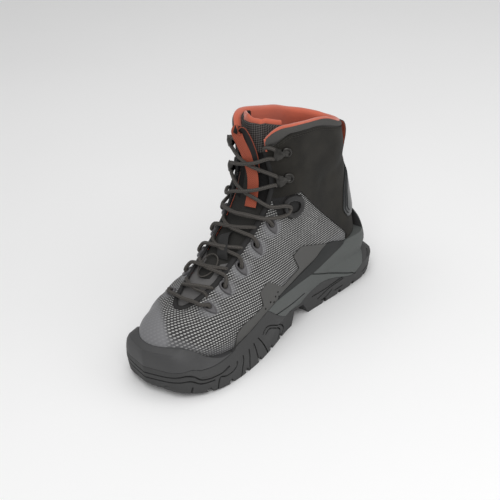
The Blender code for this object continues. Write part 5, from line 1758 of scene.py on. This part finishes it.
def build_hooks(sizes, colours):
    """The lace hooks on both sides."""
    metal = metal_material("gunmetal", colours.metal)
    for side, word in ((LATERAL, "lateral"), (MEDIAL, "medial")):
        for number, spot in enumerate(HOOKS, 1):
            whole = hook(side, spot, "lace_hook_%s_%d" % (word, number))
            dressed(whole, metal, "hook_%s_%d" % (word, number), angle=22)


def edge_at(side, height, inward, distance):
    """A place beside the throat's edge at one height, moved toward the middle and outward."""
    column = MIDDLE - side * FRONT_STEPS
    line = SKIN[int(THROAT_LEVEL / SKIN_STEP):, column]
    x, y = (np.interp(height, line[:, 2], line[:, k]) for k in (0, 1))
    return landed((x - side * inward, y + 60, height), (0.0, -1.0, -0.001), distance)[0]


def over_tongue(start, end, arches):
    """Places of the lace between two others: shares of the way and distances in front of the upper."""
    places = []
    for t, arch in arches:
        x, height = start[0] * (1 - t) + end[0] * t, start[2] * (1 - t) + end[2] * t
        places.append(in_front(x, height, arch)[0])
    return places


def lace_path(side):
    """Half of the lace, from the middle of the lowest bar through every row to its end at the top hook."""
    first, out = beside(side, *EYELETS[0])
    height = first[2]
    points = [
        in_front(0.0, height + 3.5, 3.8)[0],
        edge_at(side, height + 2.0, 3.0, 4.6),
        edge_at(side, height + 0.5, -3.5, 4.6),
        first + out * 3.6,
        first + out * 0.4 + np.array([0, 0, -1.2]),
        first - out * 2.6,
        edge_at(side, height + 4, -3.0, -3.6),
        edge_at(side, height + 8, 3.5, 0.9),
    ]
    lift = 4.6 if side == LATERAL else 6.6
    for spot in EYELETS[1:]:
        side = -side
        goal, out = beside(side, *spot)
        end = edge_at(side, goal[2] + 0.5, 4.0, 1.4)
        points += over_tongue(points[-1], end, ((0.32, lift - 1.2), (0.52, lift), (0.74, lift - 1.6)))
        points += [
            end,
            edge_at(side, goal[2], -1.5, -3.4),
            goal - out * 3.0,
            goal + out * 0.3,
            goal + out * 3.4,
            edge_at(side, goal[2] + 6.0, -2.5, 4.8),
        ]
        lift = 6.8 if lift < 6 else 4.6
    for spot in [ANKLE_LOOP] + HOOKS:
        side = -side
        place, out = beside(side, *spot)
        front, _ = facing(out, (0, 1, 0.1))
        reach, rise, off, turn_in, turn_off = LOOP_BEND if spot == ANKLE_LOOP else HOOK_BEND
        middle = place + front * reach + out * off
        low, high = middle - np.array([0, 0, rise]), middle + np.array([0, 0, rise])
        over = edge_at(side, low[2], -1.0, 5.6)
        points += over_tongue(points[-1], over, ((0.3, lift), (0.5, lift + 0.4), (0.72, lift)))
        points += [over, low, place + front * (reach - turn_in) + out * turn_off, high]
        if spot != HOOKS[-1]:
            points.append(edge_at(side, high[2], -1.0, 5.8))
        lift = 6.8 if lift < 6 else 4.8
    height = points[-1][2]
    points += [
        edge_at(side, height + 1.0, -2.0, 4.2),
        edge_at(side, height - 1.5, 2.0, 1.0),
        edge_at(side, height - 5.0, 3.0, -1.5),
    ]
    return np.array(points)


def build_laces(sizes, colours):
    """One round lace through every eyelet, loop and hook."""
    cord = cord_material("lace cord", colours.lace, 0.0021, 0.0030, 0.35)
    lateral, medial = lace_path(LATERAL), lace_path(MEDIAL)
    path = np.array(curved(np.concatenate([lateral[:0:-1], medial]), 5))
    nodes = ["lace_bar"] + ["lace_cross_%d" % number for number in range(1, 8)]
    dressed(tube("lace", path, sizes.lace_radius / MM, 12), cord, *nodes, angle=60)


def build_stage(sizes, colours):
    """A plain pale floor, soft lights and the photograph's view."""
    bpy.ops.mesh.primitive_plane_add(size=6.0, location=(0, 0, 0))
    floor = bpy.context.object
    floor.name = "studio_floor"
    floor.data.materials.append(plain_material("studio floor", colours.floor))
    scene = bpy.context.scene
    scene.view_settings.view_transform = "Standard"
    scene.view_settings.look = "None"
    world = bpy.data.worlds.new("studio")
    world.use_nodes = True
    world.node_tree.nodes["Background"].inputs[0].default_value = (1.0, 1.0, 1.0, 1.0)
    world.node_tree.nodes["Background"].inputs[1].default_value = 0.46
    scene.world = world
    lamps = [
        # name, place, target, size, watts
        ("key", (-0.9, 0.9, 1.3), (0, 0.1, 0.08), 1.2, 10.0),
        ("fill", (-1.3, -0.4, 0.8), (0, 0.1, 0.08), 1.4, 5.0),
        ("top", (0.1, 0.1, 1.6), (0, 0.1, 0.1), 1.4, 7.0),
    ]
    for name, place, target, size, watts in lamps:
        lamp = bpy.data.lights.new(name, "AREA")
        lamp.energy = watts
        lamp.size = size
        holder = bpy.data.objects.new(name, lamp)
        holder.location = place
        holder.rotation_euler = (Vector(target) - Vector(place)).to_track_quat("-Z", "Y").to_euler()
        scene.collection.objects.link(holder)
    build_camera(scene)


def build_camera(scene):
    """The photograph's view: angles in degrees, distance in metres, focal length and middle in pixels."""
    azimuth, elevation, roll = math.radians(226.13), math.radians(29.6), math.radians(-7.13)
    distance, focal, width = 1.3, 1235.0, 500.0
    middle = (242.61, 242.52)
    target = Vector((0.0, 0.110, 0.100))
    level = math.cos(elevation)
    back = Vector((math.sin(azimuth) * level, -math.cos(azimuth) * level, math.sin(elevation)))
    camera = bpy.data.cameras.new("camera")
    camera.sensor_width = 36.0
    camera.lens = focal / width * camera.sensor_width
    camera.shift_x = (width / 2 - middle[0]) / width
    camera.shift_y = (middle[1] - width / 2) / width
    camera.clip_start, camera.clip_end = 0.05, 20.0
    holder = bpy.data.objects.new("camera", camera)
    holder.location = target + back * distance
    turn = (-back).to_track_quat("-Z", "Y").to_matrix()
    side, up = turn.col[0].copy(), turn.col[1].copy()
    turn.col[0] = side * math.cos(roll) + up * math.sin(roll)
    turn.col[1] = up * math.cos(roll) - side * math.sin(roll)
    holder.rotation_euler = turn.to_euler()
    scene.collection.objects.link(holder)
    scene.camera = holder


def piece_operator(key, label, text, maker):
    """An operator class that builds one group of pieces."""

    def execute(self, context):
        maker(*given(context))
        return {"FINISHED"}

    return type(
        "BOOT_OT_" + key, (bpy.types.Operator,),
        {"bl_idname": "boot." + key, "bl_label": label, "__doc__": text, "bl_options": {"REGISTER", "UNDO"},
         "execute": execute},
    )


OPERATORS = [
    piece_operator("upper", "Woven upper", "Builds the woven upper", build_upper),
    piece_operator("panels", "Panels", "Builds the side panels and the ankle panel", build_panels),
    piece_operator("collar", "Collar", "Builds the collar's band, lining and piping", build_collar),
    piece_operator("throat", "Throat", "Builds the throat's binding and gusset", build_throat),
    piece_operator("tongue", "Tongue", "Builds the padded tongue", build_tongue),
    piece_operator("sole", "Sole", "Builds the tread unit, toe bumper, stabiliser and strips", build_sole),
    piece_operator("clip", "Heel clip", "Builds the glossy clip at the heel", build_clip),
    piece_operator("eyelets", "Eyelets", "Builds the eyelets and the lace loops", build_eyelets),
    piece_operator("hooks", "Hooks", "Builds the lace hooks", build_hooks),
    piece_operator("laces", "Laces", "Builds the lace", build_laces),
    piece_operator("pulls", "Pulls", "Builds the pull straps, the keeper and the ring", build_pulls),
    piece_operator("stage", "Stage", "Builds the floor, the lights and the camera", build_stage),
]


class BOOT_PT_panel(bpy.types.Panel):
    """Lists the boot's pieces, sizes and colours."""

    bl_idname = "BOOT_PT_panel"
    bl_label = "Wading boot"
    bl_space_type = "VIEW_3D"
    bl_region_type = "UI"
    bl_category = "Boot"

    def draw(self, context):
        for operator in OPERATORS:
            self.layout.operator(operator.bl_idname)
        for values in given(context):
            for name in values.__annotations__:
                self.layout.prop(values, name)


CLASSES = [BootSizes, BootColours, *OPERATORS, BOOT_PT_panel]


def register():
    """Registers the classes and the scene's sizes and colours."""
    for cls in CLASSES:
        bpy.utils.register_class(cls)
    bpy.types.Scene.boot_sizes = bpy.props.PointerProperty(type=BootSizes)
    bpy.types.Scene.boot_colours = bpy.props.PointerProperty(type=BootColours)


def unregister():
    """Takes them away again."""
    del bpy.types.Scene.boot_colours
    del bpy.types.Scene.boot_sizes
    for cls in reversed(CLASSES):
        bpy.utils.unregister_class(cls)


def main():
    """Builds every piece and the stage, and writes the boxes of the frame and of the looks."""
    register()
    for operator in OPERATORS:
        getattr(bpy.ops.boot, operator.bl_idname.removeprefix("boot."))()


if __name__ == "__main__":
    main()
